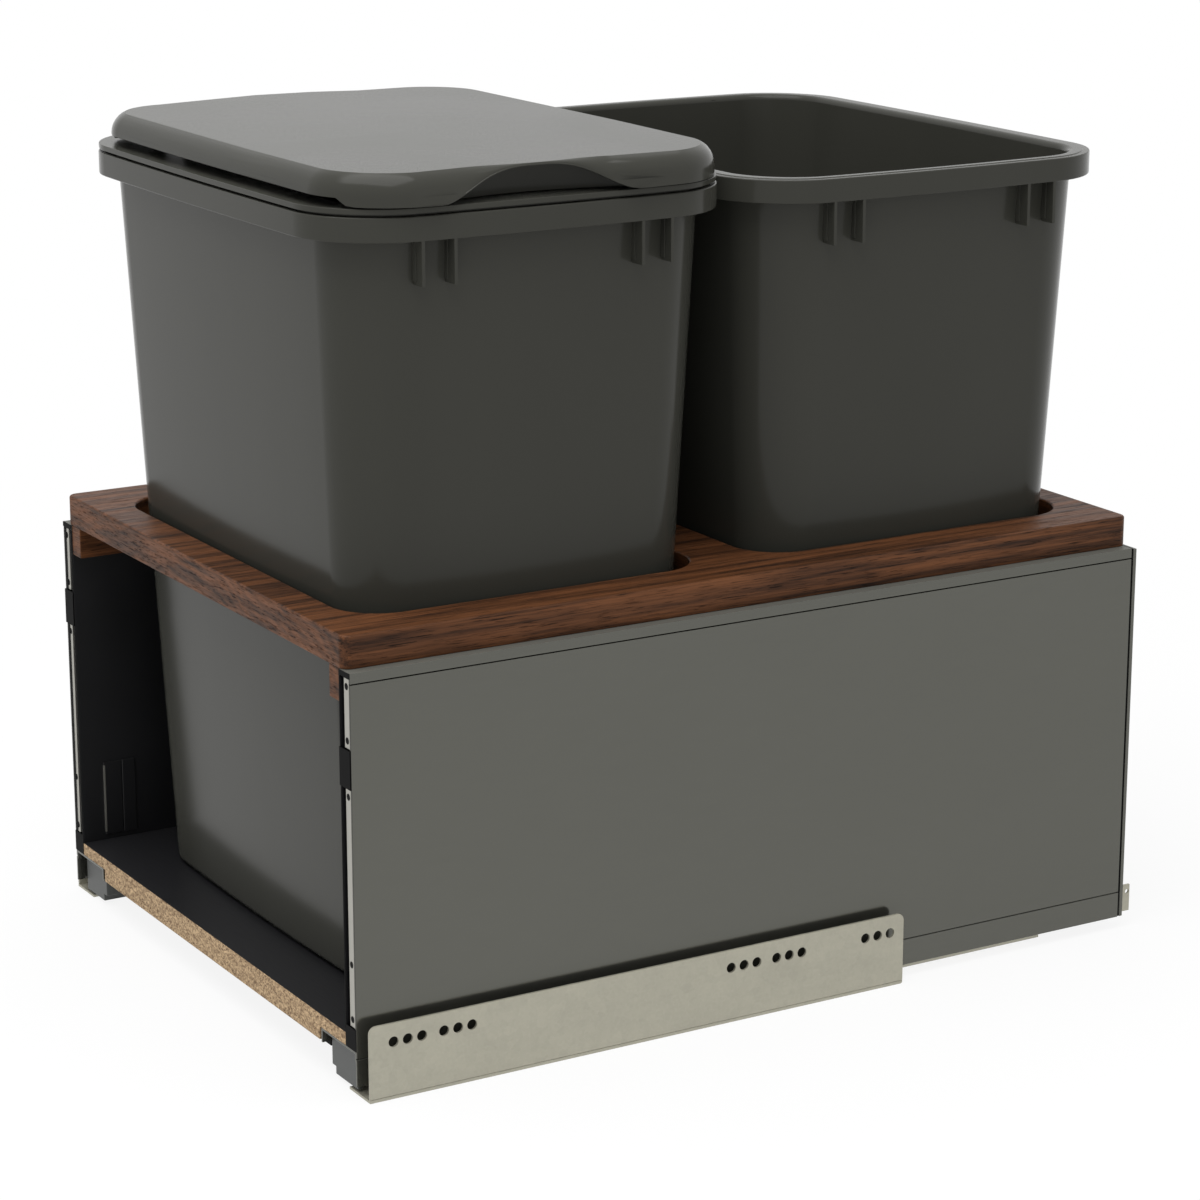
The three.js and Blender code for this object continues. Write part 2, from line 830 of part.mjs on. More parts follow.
const cleatOuter = sideInner - clearance;
const cleatCentre = cleatOuter - cleatWidth / 2;
const cleatScrewTop = sideHeight - cleatHeight + cleatScrewLength;

function cleat() {
  const bar = block(
    [cleatOuter - cleatWidth, cleatSetback, sideHeight - cleatHeight],
    [cleatOuter, sideLength, sideHeight],
  );
  const bores = cleatScrewYs.map((y) =>
    rodZ(screwShankRadius + boreSlack, sideHeight - cleatHeight - cutterRun,
      sideHeight + cutterRun, cleatCentre, y, 8));
  return cut(bar, ...bores);
}

// Bin: a tapered tub whose rim turns out and hangs down as an apron, with fins under it
function wallSection(z, inset = 0) {
  const drop = rimTop - z;
  const share = drop / binHeight;
  return {
    halfWidth: wallTopWidth - binTaperWidth * drop - inset,
    halfDepth: wallTopDepth - binTaperDepth * drop - inset,
    radius: binWallRadius - (binWallRadius - binBaseRadius) * share - inset,
    z,
  };
}

function rimSection(z, inset = 0) {
  return {
    halfWidth: binRimHalfWidth - inset,
    halfDepth: binRimHalfDepth - inset,
    radius: binRimRadius - inset,
    z,
  };
}

// Fins on the right-hand side, from the wall to just inside the apron's bowed outer face, and
// thicker at the root
function binFins() {
  const top = rimTop - binWall + sink;
  const bottom = rimTop - apronHeight - finHeight;
  const wallX = wallSection(bottom).halfWidth - finSink;
  const rootTip = wallTopWidth + finRootDepth;
  const places = finOffsets.flatMap((offset) => [-offset, offset]);
  const plates = places.flatMap((y) => {
    const share = y / (binRimHalfDepth - bowDepth);
    const tip = binRimHalfWidth - bowWidth * share ** 2 - finTipInset;
    return [
      block([wallX, y - finWall / 2, bottom], [tip, y + finWall / 2, top]),
      block([wallX, y - finRoot / 2, bottom + finRootLift], [rootTip, y + finRoot / 2, top]),
    ];
  });
  return joined(...plates);
}

function bin() {
  const underRim = rimTop - binWall;
  const floor = binBottom + binFloor;
  const middle = binBottom + binHeight / 2;
  const hem = rimTop - apronHeight;
  const shell = loft([
    wallSection(binBottom, binHeel),
    wallSection(binBottom + binHeelStep, binHeelStep),
    wallSection(binBottom + binHeel),
    wallSection(middle),
    wallSection(underRim),
    rimSection(underRim, apronWall),
    rimSection(hem, apronWall),
    rimSection(hem),
    rimSection(rimTop - binEdge),
    rimSection(rimTop, binEdge),
    wallSection(rimTop, binWall - binEdge),
    wallSection(rimTop - binEdge, binWall),
    wallSection(middle, binWall),
    wallSection(floor + binHeel, binWall),
    wallSection(floor, binWall + binHeel),
  ]);
  // The fins are trimmed just outside the inner face of the wall.
  const trim = binWall / 2;
  const inside = loft([wallSection(binBottom, trim), wallSection(rimTop + cutterRun, trim)]);
  const fins = binFins();
  return joined(cut(joined(fins, mirrored(fins)), inside), shell);
}

// Lid ring: a frame clipped on the rim, with a skirt inside the mouth and lugs for the hinge
function lidRing() {
  const skirtOuter = binWall + ringSkirtGap;
  const skirtInner = skirtOuter + ringSkirtWall;
  const ring = loft([
    rimSection(ringBottom, ringInset),
    rimSection(ringTop, ringInset),
    rimSection(ringTop, ringInnerMargin),
    rimSection(ringBottom, ringInnerMargin),
    wallSection(rimTop, skirtInner),
    wallSection(rimTop - ringSkirt, skirtInner),
    wallSection(rimTop - ringSkirt, skirtOuter),
    wallSection(rimTop, skirtOuter),
    rimSection(rimTop, ringSeat),
    rimSection(ringBottom, ringSeat),
  ], true);
  const lugs = [];
  const bores = [];
  for (const side of [-1, 1]) {
    const y = (side * hingeSpacing) / 2;
    const half = hingeLugWidth / 2;
    lugs.push(block(
      [hingeX - hingeLugHalf, y - half, ringTop - sink],
      [hingeX + hingeLugHalf, y + half, hingeZ + hingeLugHalf],
    ));
    bores.push(rodY(
      hingePinRadius + pressFit, y - half - cutterRun, y + half + cutterRun, hingeX, hingeZ, 12));
  }
  return cut(joined(ring, ...lugs), ...bores);
}

function lidSection(z, inset) {
  return rimSection(z, lidInset + inset);
}

// Lid: a shallow shell with rounded edges, a finger scoop in its right-hand skirt, a shorter
// skirt at the front and bosses for the hinge pins
function lid() {
  const radius = lidEdgeRadius;
  const steps = 4;
  const outer = [lidSection(lidBottom, 0)];
  const inner = [];
  for (let step = 0; step <= steps; step++) {
    const angle = (step / steps) * (Math.PI / 2);
    const inset = radius * (1 - Math.cos(angle));
    const drop = radius * (1 - Math.sin(angle));
    outer.push(lidSection(lidTop - drop, inset));
  }
  for (let step = steps; step >= 0; step -= 2) {
    const angle = (step / steps) * (Math.PI / 2);
    const inset = (radius - lidWall) * (1 - Math.cos(angle)) + lidWall;
    const drop = (radius - lidWall) * (1 - Math.sin(angle)) + lidWall;
    inner.push(lidSection(lidTop - drop, inset));
  }
  const top = loft(outer);
  inner.push({ ...lidSection(lidBottom, lidWall), z: lidBottom - cutterRun });
  const hollow = loft(inner.reverse());
  const reach = 2 * binRimHalfWidth;
  const rightFace = binRimHalfWidth - lidInset;
  const frontFace = -(binRimHalfDepth - lidInset);
  const shortFront = block(
    [-reach, frontFace - cutterRun, lidBottom - cutterRun],
    [rightFace - frontSkirtEnd, frontFace + frontSkirtDepth, lidBottom + frontSkirtLift],
  );
  const shortHinge = block(
    [-reach, -reach, lidBottom - cutterRun],
    [hingeX + hingeNotchReach, reach, lidBottom + hingeSkirtLift],
  );
  const scoopShape = new THREE.Shape();
  scoopShape.moveTo(-scoopHalfLength, lidBottom - cutterRun);
  scoopShape.lineTo(-scoopHalfLength, lidBottom);
  const arcSteps = 12;
  for (let step = 1; step < arcSteps; step++) {
    const share = step / arcSteps;
    const rise = 0.5 - 0.5 * Math.cos(2 * Math.PI * share);
    scoopShape.lineTo(-scoopHalfLength + 2 * scoopHalfLength * share, lidBottom + scoopHeight * rise);
  }
  scoopShape.lineTo(scoopHalfLength, lidBottom);
  scoopShape.lineTo(scoopHalfLength, lidBottom - cutterRun);
  scoopShape.closePath();
  const scoopWallX = rightFace - scoopDepth;
  const scoop = alongX(scoopShape, scoopWallX, rightFace + cutterRun).translate(0, scoopShift, 0);
  const notches = [];
  const bosses = [];
  const bores = [];
  for (const side of [-1, 1]) {
    const y = (side * hingeSpacing) / 2;
    const half = hingeLugWidth / 2 + hingeSideGap;
    const end = hingePinLength / 2 + hingeSideGap;
    notches.push(block(
      [-reach, y - half, lidBottom - cutterRun],
      [hingeX + hingeNotchReach, y + half, hingeZ + hingeNotchRise],
    ));
    bosses.push(rodY(hingeBossRadius, y - end, y - half, hingeX, hingeZ, 12));
    bosses.push(rodY(hingeBossRadius, y + half, y + end, hingeX, hingeZ, 12));
    for (const [near, far] of [[y - end, y - half], [y + half, y + end]]) {
      bosses.push(block(
        [hingeX - sink, near, hingeZ + sink],
        [hingeX + hingeLugHalf, far, lidTop - lidSkinLeft],
      ));
    }
    const boreEnd = hingePinLength / 2 + clearance;
    bores.push(rodY(hingePinRadius + clearance, y - boreEnd, y + boreEnd, hingeX, hingeZ, 12));
  }
  const recess = block(
    [scoopWallX - lidWall, scoopShift - scoopHalfLength - lidWall, lidBottom + sink],
    [scoopWallX, scoopShift + scoopHalfLength + lidWall, lidTop - lidSkinLeft],
  );
  const shell = cut(top, hollow, shortFront, shortHinge, scoop);
  const fitted = joined(cut(shell, ...notches), recess, ...bosses);
  return cut(fitted, ...bores);
}

function hingePin(y) {
  return rodY(hingePinRadius, y - hingePinLength / 2, y + hingePinLength / 2, hingeX, hingeZ, 12);
}

placePair("runner_rail", cabinetRail(), "galvanised");
placePair("soft_close_unit", softCloseUnit(), "greyPlastic");
placePair("middle_rail", middleRail(), "galvanised");
const lowerCageZ = railFloor + cageThickness / 2;
const upperCageZ = middleTop + cageThickness / 2;
placePair("lower_roller_cage", rollerCage(lowerCageFront, lowerCageLength, lowerCageZ), "blackPlastic");
placePair("upper_roller_cage", rollerCage(upperCageFront, upperCageLength, upperCageZ), "blackPlastic");
placePair("drawer_rail", carrierRail(), "galvanised");
placePair("side_base_profile", cut(baseProfile(), ...floorBores(1)), "sideGrey");
placePair("side_outer_skin", outerSkin(), "sideGrey");
placePair("side_inner_skin", innerSkin(), "darkSteel");
placePair("side_top_trim", topTrim(), "sideGrey");
placePair("side_front_cap", frontCap(), "blackPlastic");
placePair("front_fixing_strip_upper", upperStrip(), "zinc");
placePair("front_fixing_strip_lower", lowerStrip(), "zinc");
placePair("adjuster_cover", adjusterCover(), "darkSteel");
placePair("locking_device", lockingDevice(), "greyPlastic");
placePair("release_lever", releaseLever(), "blackPlastic");
placePair("back_bracket", backBracket(), "blackPlastic");
placePair("rear_hook", rearHook(), "galvanised");
place("drawer_floor", drawerFloor(), "chipboard");
place("back_panel", backPanel(), "sideGrey");
place("walnut_board", walnutBoard(), "walnut");
placePair("board_cleat", cleat(), "walnut");

backScrewHeights.forEach((z, i) => {
  placePair(`back_screw_${i + 1}`, backScrew(backScrewX, z), "zinc");
});
floorScrewYs.forEach((y, i) => {
  const screw = screwFromBelow(floorScrewX, y, ledgeBottom, floorScrewLength);
  placePair(`floor_screw_${i + 1}`, screw, "zinc");
});
cleatScrewYs.forEach((y, i) => {
  const screw = screwFromBelow(cleatCentre, y, sideHeight - cleatHeight, cleatScrewLength);
  placePair(`cleat_screw_${i + 1}`, screw, "zinc");
});

const frontPlace = new THREE.Group();
frontPlace.position.y = frontBinY;
const rearPlace = new THREE.Group();
rearPlace.position.y = rearBinY;
model.add(frontPlace, rearPlace);
place("front_bin", bin(), "binPlastic", frontPlace);
place("rear_bin", bin(), "binPlastic", rearPlace);
place("lid_ring", lidRing(), "binPlastic", frontPlace);
place("lid", lid(), "binPlastic", frontPlace);
[-1, 1].forEach((side, i) => {
  place(`lid_hinge_pin_${i + 1}`, hingePin((side * hingeSpacing) / 2), "zinc", frontPlace);
});

export default model;
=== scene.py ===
import json
import math

import bmesh
import bpy
from bpy.props import FloatProperty, FloatVectorProperty, PointerProperty
from mathutils import Matrix, Vector


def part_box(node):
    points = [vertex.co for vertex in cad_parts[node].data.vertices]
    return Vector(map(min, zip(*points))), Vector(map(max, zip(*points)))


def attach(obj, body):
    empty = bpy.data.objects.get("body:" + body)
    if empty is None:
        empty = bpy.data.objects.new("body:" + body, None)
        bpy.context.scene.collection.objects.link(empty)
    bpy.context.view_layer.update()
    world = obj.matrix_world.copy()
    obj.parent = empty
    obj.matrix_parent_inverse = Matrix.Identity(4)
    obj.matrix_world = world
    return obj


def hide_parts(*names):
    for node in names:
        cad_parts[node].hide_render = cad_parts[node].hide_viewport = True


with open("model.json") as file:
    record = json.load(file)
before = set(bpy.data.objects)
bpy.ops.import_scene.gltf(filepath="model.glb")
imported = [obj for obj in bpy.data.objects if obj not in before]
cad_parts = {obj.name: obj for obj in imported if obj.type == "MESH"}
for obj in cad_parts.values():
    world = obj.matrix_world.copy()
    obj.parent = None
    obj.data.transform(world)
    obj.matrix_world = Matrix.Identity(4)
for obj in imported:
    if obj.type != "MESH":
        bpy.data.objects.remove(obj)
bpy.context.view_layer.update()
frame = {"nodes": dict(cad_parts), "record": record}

bl_info = {
    "name": "Pull-out waste unit",
    "version": (1, 0, 0),
    "blender": (4, 5, 0),
    "location": "3D View > Sidebar > Waste unit",
    "description": "Makes the pieces of a pull-out waste unit around its packed model",
    "category": "Add Mesh",
}

MM = 0.001
BODY_OF = {
    node: body for body, nodes in frame["record"]["behaviour"]["bodies"].items() for node in nodes
}


# ---- sizes and colours

def length(text, millimetres):
    return FloatProperty(description=text, default=millimetres * MM, unit="LENGTH", precision=4)


def ratio(text, value):
    return FloatProperty(description=text, default=value, min=0, max=1)


def colour(text, *levels):
    """A colour given by its levels in a picture, 0 to 255, and kept in linear values."""
    linear = [share / 12.92 if share <= 0.04045 else ((share + 0.055) / 1.055) ** 2.4
              for share in (level / 255 for level in levels)]
    return FloatVectorProperty(description=text, default=linear, subtype="COLOR", min=0, max=1)


class TubSizes(bpy.types.PropertyGroup):
    wall: length("Thickness of a bin's wall", 2.5)
    wall_set_in_x: length("From the rim's edge to the wall, on the sides", 9)
    wall_set_in_y: length("From the rim's edge to the wall, on the ends", 11.4)
    rim_radius: length("Corner radius of the rim", 48)
    wall_radius: length("Corner radius of the wall at the rim", 39)
    base_radius: length("Corner radius of the wall at the base", 24)
    bow_x: length("How far the sides swell between corners", 5)
    bow_y: length("How far the ends swell between corners", 3)
    apron: length("Height of the turned-down rim", 14.3)
    apron_wall: length("Thickness of the turned-down rim", 2.2)
    ledge: length("Width of the step round the rim", 4)
    ledge_drop: length("Height of the step round the rim", 0.45)
    floor: length("Thickness of the base", 3)
    taper_x: ratio("Slope of the side walls", 0.0571)
    taper_y: ratio("Slope of the end walls", 0.0429)
    fin_drop: length("How far the fins reach below the apron", 25)
    fin_wall: length("Thickness of a fin", 2)
    fin_inner: length("From the bin's middle to its inner fins", 59.5)
    fin_outer: length("From the bin's middle to its outer fins", 79)


class LidSizes(bpy.types.PropertyGroup):
    set_in: length("From the rim's edge to the lid's edge", 5.3)
    wall: length("Thickness of the lid's skirt", 2.5)
    plate: length("Thickness of the lid's top", 1.8)
    edge_width: length("Width of the rounding of the top edge", 8)
    edge_drop: length("Height of the rounding of the top edge", 12.5)
    foot_gap: length("From the hinge's clearance to the skirt's lower edge", 0.6)
    front_lift: length("Gap under the front skirt", 5.2)
    front_depth: length("Depth of the lifted front skirt", 10.5)
    front_end: length("From the lid's right side to the lifted skirt", 18)
    hinge_lift: length("Gap under the skirt on the hinge side", 1.6)
    scoop_half: length("Half the length of the finger scoop", 62)
    scoop_rise: length("Height of the finger scoop", 16.9)
    scoop_depth: length("Depth of the finger scoop", 12)
    scoop_shift: length("Scoop's middle from the lid's middle", -7)
    scoop_lip: length("Height of the lip over the finger scoop", 0.8)
    ring_set_in: length("From the rim's edge to the ring's edge", 0.3)
    ring_gap: length("From the rim to the ring", 1.1)
    ring_seat: length("From the rim's edge to the ring's seat", 3.5)
    ring_margin: length("Width of the lid ring's frame", 22)
    ring_plate: length("Thickness of the lid ring", 3.1)
    ring_skirt: length("Depth of the ring's skirt in the bin", 12)
    ring_skirt_wall: length("Thickness of the ring's skirt", 2)
    hinge_in: length("From the rim's edge to the hinge", 7.5)
    hinge_rise: length("From the ring to the hinge", 4.2)
    hinge_spacing: length("Between the two hinges", 140)
    lug_width: length("Width of a hinge lug", 12)
    boss_radius: length("Radius of the bosses round the pins", 3.6)


class BoardSizes(bpy.types.PropertyGroup):
    corner: length("Rounding of the upright corners", 6)
    edge_round: length("Rounding of the upper edges", 1.5)
    hole_half_x: length("Half the width of a cut-out", 163)
    hole_half_y: length("Half the depth of a cut-out", 115.5)
    hole_radius: length("Corner radius of a cut-out", 30)
    rear_shift: length("How far the rear cut-out lies forward", 1)


class RunnerSizes(bpy.types.PropertyGroup):
    sheet: length("Thickness of the cabinet rails", 1.5)
    bend: length("Outside radius of the bends", 1.6)
    plate_length: length("Length of the perforated plate", 363.2)
    corner: length("Rounding of the plate's upper corners", 4.5)
    tail: length("Width of the flange behind the plate", 4)
    hem: length("From the plate's lower edge to the line of its hem", 1.8)
    lip: length("Height of the flange's inner lip", 10.9)
    lip_front: length("From the front of the sides to the lip", 100)
    hole_radius: length("Radius of a screw hole", 3.15)
    hole_height: length("From the flange to the holes", 34.3)
    first_hole: length("From the front of the sides to the first hole", 28)
    hole_pitch: length("Between the three holes of a group", 9)
    system: length("Pitch of the cabinet's hole rows", 32)
    roller_radius: length("Radius of a roller", 1.45)
    roller_pitch: length("Between two rollers", 30)
    roller_margin: length("From a cage's end to its first roller", 8)


class Finishes(bpy.types.PropertyGroup):
    side_grey: colour("Powder coat of the drawer sides", 95, 95, 89)
    galvanised: colour("Zinc coat of the rails", 172, 169, 154)
    dark_steel: colour("Dark coat of the inner skins", 20, 20, 22)
    zinc: colour("Plating of screws and strips", 168, 166, 158)
    black_plastic: colour("Moulded black pieces", 9, 9, 9)
    grey_plastic: colour("Moulded grey pieces", 64, 66, 64)
    bin_plastic: colour("Bins, ring and lid", 58, 58, 53)
    walnut_light: colour("Early wood of the walnut", 112, 70, 42)
    walnut_dark: colour("Late wood of the walnut", 34, 20, 12)
    walnut_pore: colour("Open pores of the walnut", 16, 9, 6)
    chip_light: colour("Light chips of the board's raw edge", 212, 183, 144)
    chip_dark: colour("Dark chips of the board's raw edge", 90, 66, 44)
    board_film: colour("Black film on the board's faces", 30, 30, 32)


class StageSettings(bpy.types.PropertyGroup):
    floor_size: length("Side of the square floor", 14000)
    key: FloatProperty(description="Power of the overhead lamp", default=62, unit="POWER")
    sky: ratio("Strength of the even light", 0.6)
    shadow: ratio("How much of the object's shadow the floor shows", 0.12)


class WasteUnit(bpy.types.PropertyGroup):
    tubs: PointerProperty(type=TubSizes)
    lid: PointerProperty(type=LidSizes)
    board: PointerProperty(type=BoardSizes)
    runners: PointerProperty(type=RunnerSizes)
    finishes: PointerProperty(type=Finishes)
    stage: PointerProperty(type=StageSettings)


def unit():
    return bpy.context.scene.waste_unit


# ---- shader maths

def joined_by(operation, swapped=False):
    """A method that puts a number and the others in a Math node, either way round."""
    def join(self, *others):
        values = (*others, self) if swapped else (self, *others)
        return Wire(self.graph, self.graph.node(
            "ShaderNodeMath", {"operation": operation}, dict(enumerate(values))))
    return join


class Wire:
    """A number socket, used in Python sums; each sum adds its Math node."""
    __add__, __radd__ = joined_by("ADD"), joined_by("ADD", True)
    __sub__, __rsub__ = joined_by("SUBTRACT"), joined_by("SUBTRACT", True)
    __mul__, __rmul__ = joined_by("MULTIPLY"), joined_by("MULTIPLY", True)
    most, least = joined_by("MAXIMUM"), joined_by("MINIMUM")
    root, sine = joined_by("SQRT"), joined_by("SINE")

    def __init__(self, graph, socket):
        self.graph, self.socket = graph, socket

    def between(self, low, high):
        """0 below low, 1 above high, and smooth between."""
        return Wire(self.graph, self.graph.node(
            "ShaderNodeMapRange", {"interpolation_type": "SMOOTHSTEP"},
            {"Value": self, "From Min": low, "From Max": high}))


class Graph:
    """The node tree of a finish or of the world."""

    def __init__(self, owner):
        owner.use_nodes = True
        self.tree = owner.node_tree
        self.tree.nodes.clear()

    def node(self, kind, settings=None, inputs=None, output=0):
        """Adds a node: its settings first, then its sockets' values and links."""
        made = self.tree.nodes.new(kind)
        for name, value in (settings or {}).items():
            setattr(made, name, value)
        for name, value in (inputs or {}).items():
            source = value.socket if isinstance(value, Wire) else value
            if isinstance(source, bpy.types.NodeSocket):
                self.tree.links.new(source, made.inputs[name])
            else:
                made.inputs[name].default_value = source
        return made.outputs[output] if made.outputs else made

    def place(self):
        """Where a point of the piece is, in metres."""
        return self.node("ShaderNodeTexCoord", output="Object")

    def scaled(self, x, y, z):
        return self.node("ShaderNodeMapping", {}, {"Vector": self.place(), "Scale": (x, y, z)})

    def noise(self, x, y, z, detail=2, rough=0.5, distort=0):
        """Cloudy numbers with x, y and z clouds to the metre."""
        return Wire(self, self.node("ShaderNodeTexNoise", {}, {
            "Vector": self.scaled(x, y, z), "Scale": 1, "Detail": detail, "Roughness": rough,
            "Distortion": distort}, "Fac"))

    def cells(self, x, y, z):
        """One number for each cell, with x, y and z cells to the metre."""
        return self.part(self.node(
            "ShaderNodeTexVoronoi", {}, {"Vector": self.scaled(x, y, z), "Scale": 1},
            "Color"), "X")

    def part(self, vector, axis):
        """One number of a vector."""
        return Wire(self, self.node("ShaderNodeSeparateXYZ", {}, {"Vector": vector}, axis))

    def facing(self, axis):
        """1 where the surface looks along an axis of the piece, either way, and 0 across it."""
        share = self.part(self.node("ShaderNodeTexCoord", output="Normal"), axis)
        return (share * share).between(0.45, 0.85)

    def mixed(self, share, first, second):
        """A colour between two, by a number from 0 to 1."""
        def shade(value):
            return (*value, 1) if isinstance(value, tuple) else value
        return self.node("ShaderNodeMix", {"data_type": "RGBA"}, {
            0: share, 6: shade(first), 7: shade(second)}, 2)

    def lit(self, tint, amount):
        """A colour made lighter or darker by a number."""
        return self.node("ShaderNodeVectorMath", {"operation": "SCALE"}, {
            0: tint, "Scale": amount})

    def bump(self, height, distance, strength):
        return self.node("ShaderNodeBump", {}, {
            "Height": height, "Distance": distance, "Strength": strength})


def finish(graph, base, roughness, normal, metallic=0.0, **own):
    """Ends a finish with its surface shader; own holds the numbers that are the same all over."""
    values = {"Base Color": base, "Roughness": roughness, "Metallic": metallic, "Normal": normal}
    values.update({name.replace("_", " "): value for name, value in own.items()})
    shader = graph.node("ShaderNodeBsdfPrincipled", {}, values)
    graph.node("ShaderNodeOutputMaterial", {}, {"Surface": shader})


def tint(name):
    return tuple(getattr(unit().finishes, name))


def side_grey(graph):
    """Metallic coat with fine strokes along the sides, which run along Y. It is duller on the
    faces that look up."""
    up = graph.facing("Z")
    strokes = graph.noise(60, 34, 1500, detail=3, rough=0.6)
    cloud = graph.noise(7, 5, 7)
    grain = graph.noise(1500, 1500, 1500)
    base = graph.lit(tint("side_grey"), 0.88 + strokes * 0.14 + cloud * 0.1)
    rough = 0.1 + cloud * 0.03 + strokes * 0.06 + grain * 0.03 + up * 0.4
    finish(graph, base, rough, graph.bump(grain * 0.4 + strokes * 0.8, 0.00002, 0.25),
           metallic=0.75 - up * 0.6)


def galvanised(graph):
    """Zinc coat: dull spangles, cloudy patches and faint lines from the rolling mill."""
    spangle = graph.cells(190, 190, 190)
    small = graph.cells(560, 560, 560)
    patch = graph.noise(38, 22, 38, detail=4, rough=0.6, distort=0.6)
    drawn = graph.noise(700, 12, 700, detail=3)
    amount = 0.8 + spangle * 0.08 + small * 0.05 + patch * 0.22 + drawn * 0.06
    rough = 0.4 + spangle * 0.08 + patch * 0.1 + drawn * 0.06
    finish(graph, graph.lit(tint("galvanised"), amount), rough,
           graph.bump(spangle * 0.3 + drawn * 0.7, 0.00003, 0.6), metallic=0.55)


def dark_steel(graph):
    grain = graph.noise(1300, 1300, 1300)
    cloud = graph.noise(14, 9, 14, detail=3)
    base = graph.lit(tint("dark_steel"), 0.75 + cloud * 0.5)
    rough = 0.34 + cloud * 0.1 + grain * 0.08
    finish(graph, base, rough, graph.bump(grain, 0.00004, 0.5), Specular_IOR_Level=0.45)


def zinc(graph):
    cloud = graph.noise(120, 120, 120, detail=3)
    turned = graph.noise(900, 900, 200)
    base = graph.lit(tint("zinc"), 0.84 + cloud * 0.2 + turned * 0.08)
    rough = 0.26 + cloud * 0.14 + turned * 0.08
    finish(graph, base, rough, graph.bump(turned, 0.00002, 0.5), metallic=0.8)


def moulded(graph, shade, gloss, grain_depth, dull=0.0, **own):
    """Moulded plastic with a fine grain from its mould and faint flow marks; dull adds to the
    roughness of the faces that look up."""
    flow = graph.noise(7, 7, 2.4, detail=3, distort=0.8)
    grain = graph.noise(2100, 2100, 2100, rough=0.6)
    base = graph.lit(shade, 0.86 + flow * 0.2 + grain * 0.08)
    rough = gloss + flow * 0.06 + grain * 0.05 + graph.facing("Z") * dull
    finish(graph, base, rough, graph.bump(grain, grain_depth, 0.5), **own)


def black_plastic(graph):
    moulded(graph, tint("black_plastic"), 0.46, 0.00005, Specular_IOR_Level=0.04)


def grey_plastic(graph):
    moulded(graph, tint("grey_plastic"), 0.34, 0.00005, IOR=1.49)


def bin_plastic(graph):
    moulded(graph, tint("bin_plastic"), 0.12, 0.00001, 0.1, IOR=1.235)


def walnut(graph):
    """Oiled walnut: growth bands round a heart beside the board, streaks and dark pores along
    the grain. The grain runs along Y, and the strokes on the ends lie along X."""
    ends = graph.facing("Y")
    slow = graph.noise(6, 1.1, 6)
    across = graph.part(graph.place(), "X") + slow * 0.09
    deep = graph.part(graph.place(), "Z") + 0.05 + slow * 0.03
    wobble = graph.noise(26, 3, 26, detail=4, rough=0.6)
    ring = (across * across + deep * deep).root() * 150 + wobble * 2.2
    band = (ring * math.tau).sine() * 0.5 + 0.5

    def strokes(fine, coarse, detail, low, high):
        """Strokes to the metre across and along the grain, turned on the ends."""
        long = graph.noise(fine, coarse, fine, detail, 0.65)
        turned = graph.noise(coarse * 2.5, fine, fine, detail, 0.65)
        return (long * (1 - ends) + turned * ends).between(low, high)

    streak = strokes(150, 6, 4, 0.38, 0.62)
    fibre = strokes(800, 20, 3, 0.36, 0.64)
    pores = strokes(1300, 60, 2, 0.56, 0.66)
    share = (band * 0.22 + streak * 0.5 + fibre * 0.28).least(1)
    wood = graph.mixed(share, tint("walnut_light"), tint("walnut_dark"))
    wood = graph.mixed(pores * (0.5 + streak * 0.35), wood, tint("walnut_pore"))
    rough = 0.42 + fibre * 0.1 + pores * 0.3
    height = fibre * 0.35 - pores * 0.9
    finish(graph, wood, rough, graph.bump(height, 0.00007, 0.5), Specular_IOR_Level=0.15)


def chipboard(graph):
    """Chipboard: pressed flat chips on the raw edges, black film on the faces."""
    film = graph.facing("Z")
    chips = graph.cells(330, 330, 560)
    fine = graph.cells(760, 760, 1000)
    shred = graph.noise(520, 520, 800, detail=3, rough=0.7)
    gap = graph.noise(620, 620, 900).between(0.58, 0.66)
    share = (chips * 0.25 + fine * 0.55 + shred.between(0.35, 0.65) * 0.25).least(1)
    raw = graph.mixed(share, tint("chip_light"), tint("chip_dark"))
    raw = graph.lit(raw, 1.08 - gap * 0.5)
    peel = graph.noise(60, 900, 60, detail=3)
    base = graph.mixed(film, raw, graph.lit(tint("board_film"), 0.8 + peel * 0.4))
    rough = film * (0.34 + peel * 0.12) + (1 - film) * 0.85
    height = (1 - film) * (chips * 0.5 - gap) + film * peel * 0.1
    finish(graph, base, rough, graph.bump(height, 0.00012, 0.6), Specular_IOR_Level=0.4)


MAKERS = {maker.__name__: maker for maker in (
    side_grey, galvanised, dark_steel, zinc, black_plastic, grey_plastic, bin_plastic, walnut,
    chipboard)}


def finish_of(slot):
    name = f"{slot}_finish"
    if name not in bpy.data.materials:
        MAKERS[slot](Graph(bpy.data.materials.new(name)))
    return bpy.data.materials[name]


# ---- mesh work

SIDES = ("left", "right")


def mm(*values):
    """Millimetres as metres."""
    return [value * MM for value in values]


def placed(name, data):
    """A new object in the scene."""
    thing = bpy.data.objects.new(name, data)
    bpy.context.scene.collection.objects.link(thing)
    return thing


def object_of(bm, name):
    """Ends mesh work as an object in the scene."""
    mesh = bpy.data.meshes.new(name)
    bm.to_mesh(mesh)
    bm.free()
    return placed(name, mesh)


def sharp_edges(bm, angle=38):
    limit = math.radians(angle)
    return [e for e in bm.edges if len(e.link_faces) == 2 and e.calc_face_angle(0) > limit]


def settle(bm, name, body, slot, nodes=()):
    """Turns finished mesh work into a piece that rides on its body, in its finish."""
    for face in bm.faces:
        face.smooth = True
    for edge in sharp_edges(bm, 34):
        edge.smooth = False
    piece = object_of(bm, name)
    piece.data.materials.append(finish_of(slot))
    piece.modifiers.new("even_shading", "WEIGHTED_NORMAL").keep_sharp = True
    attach(piece, body)
    if nodes:
        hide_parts(*nodes)


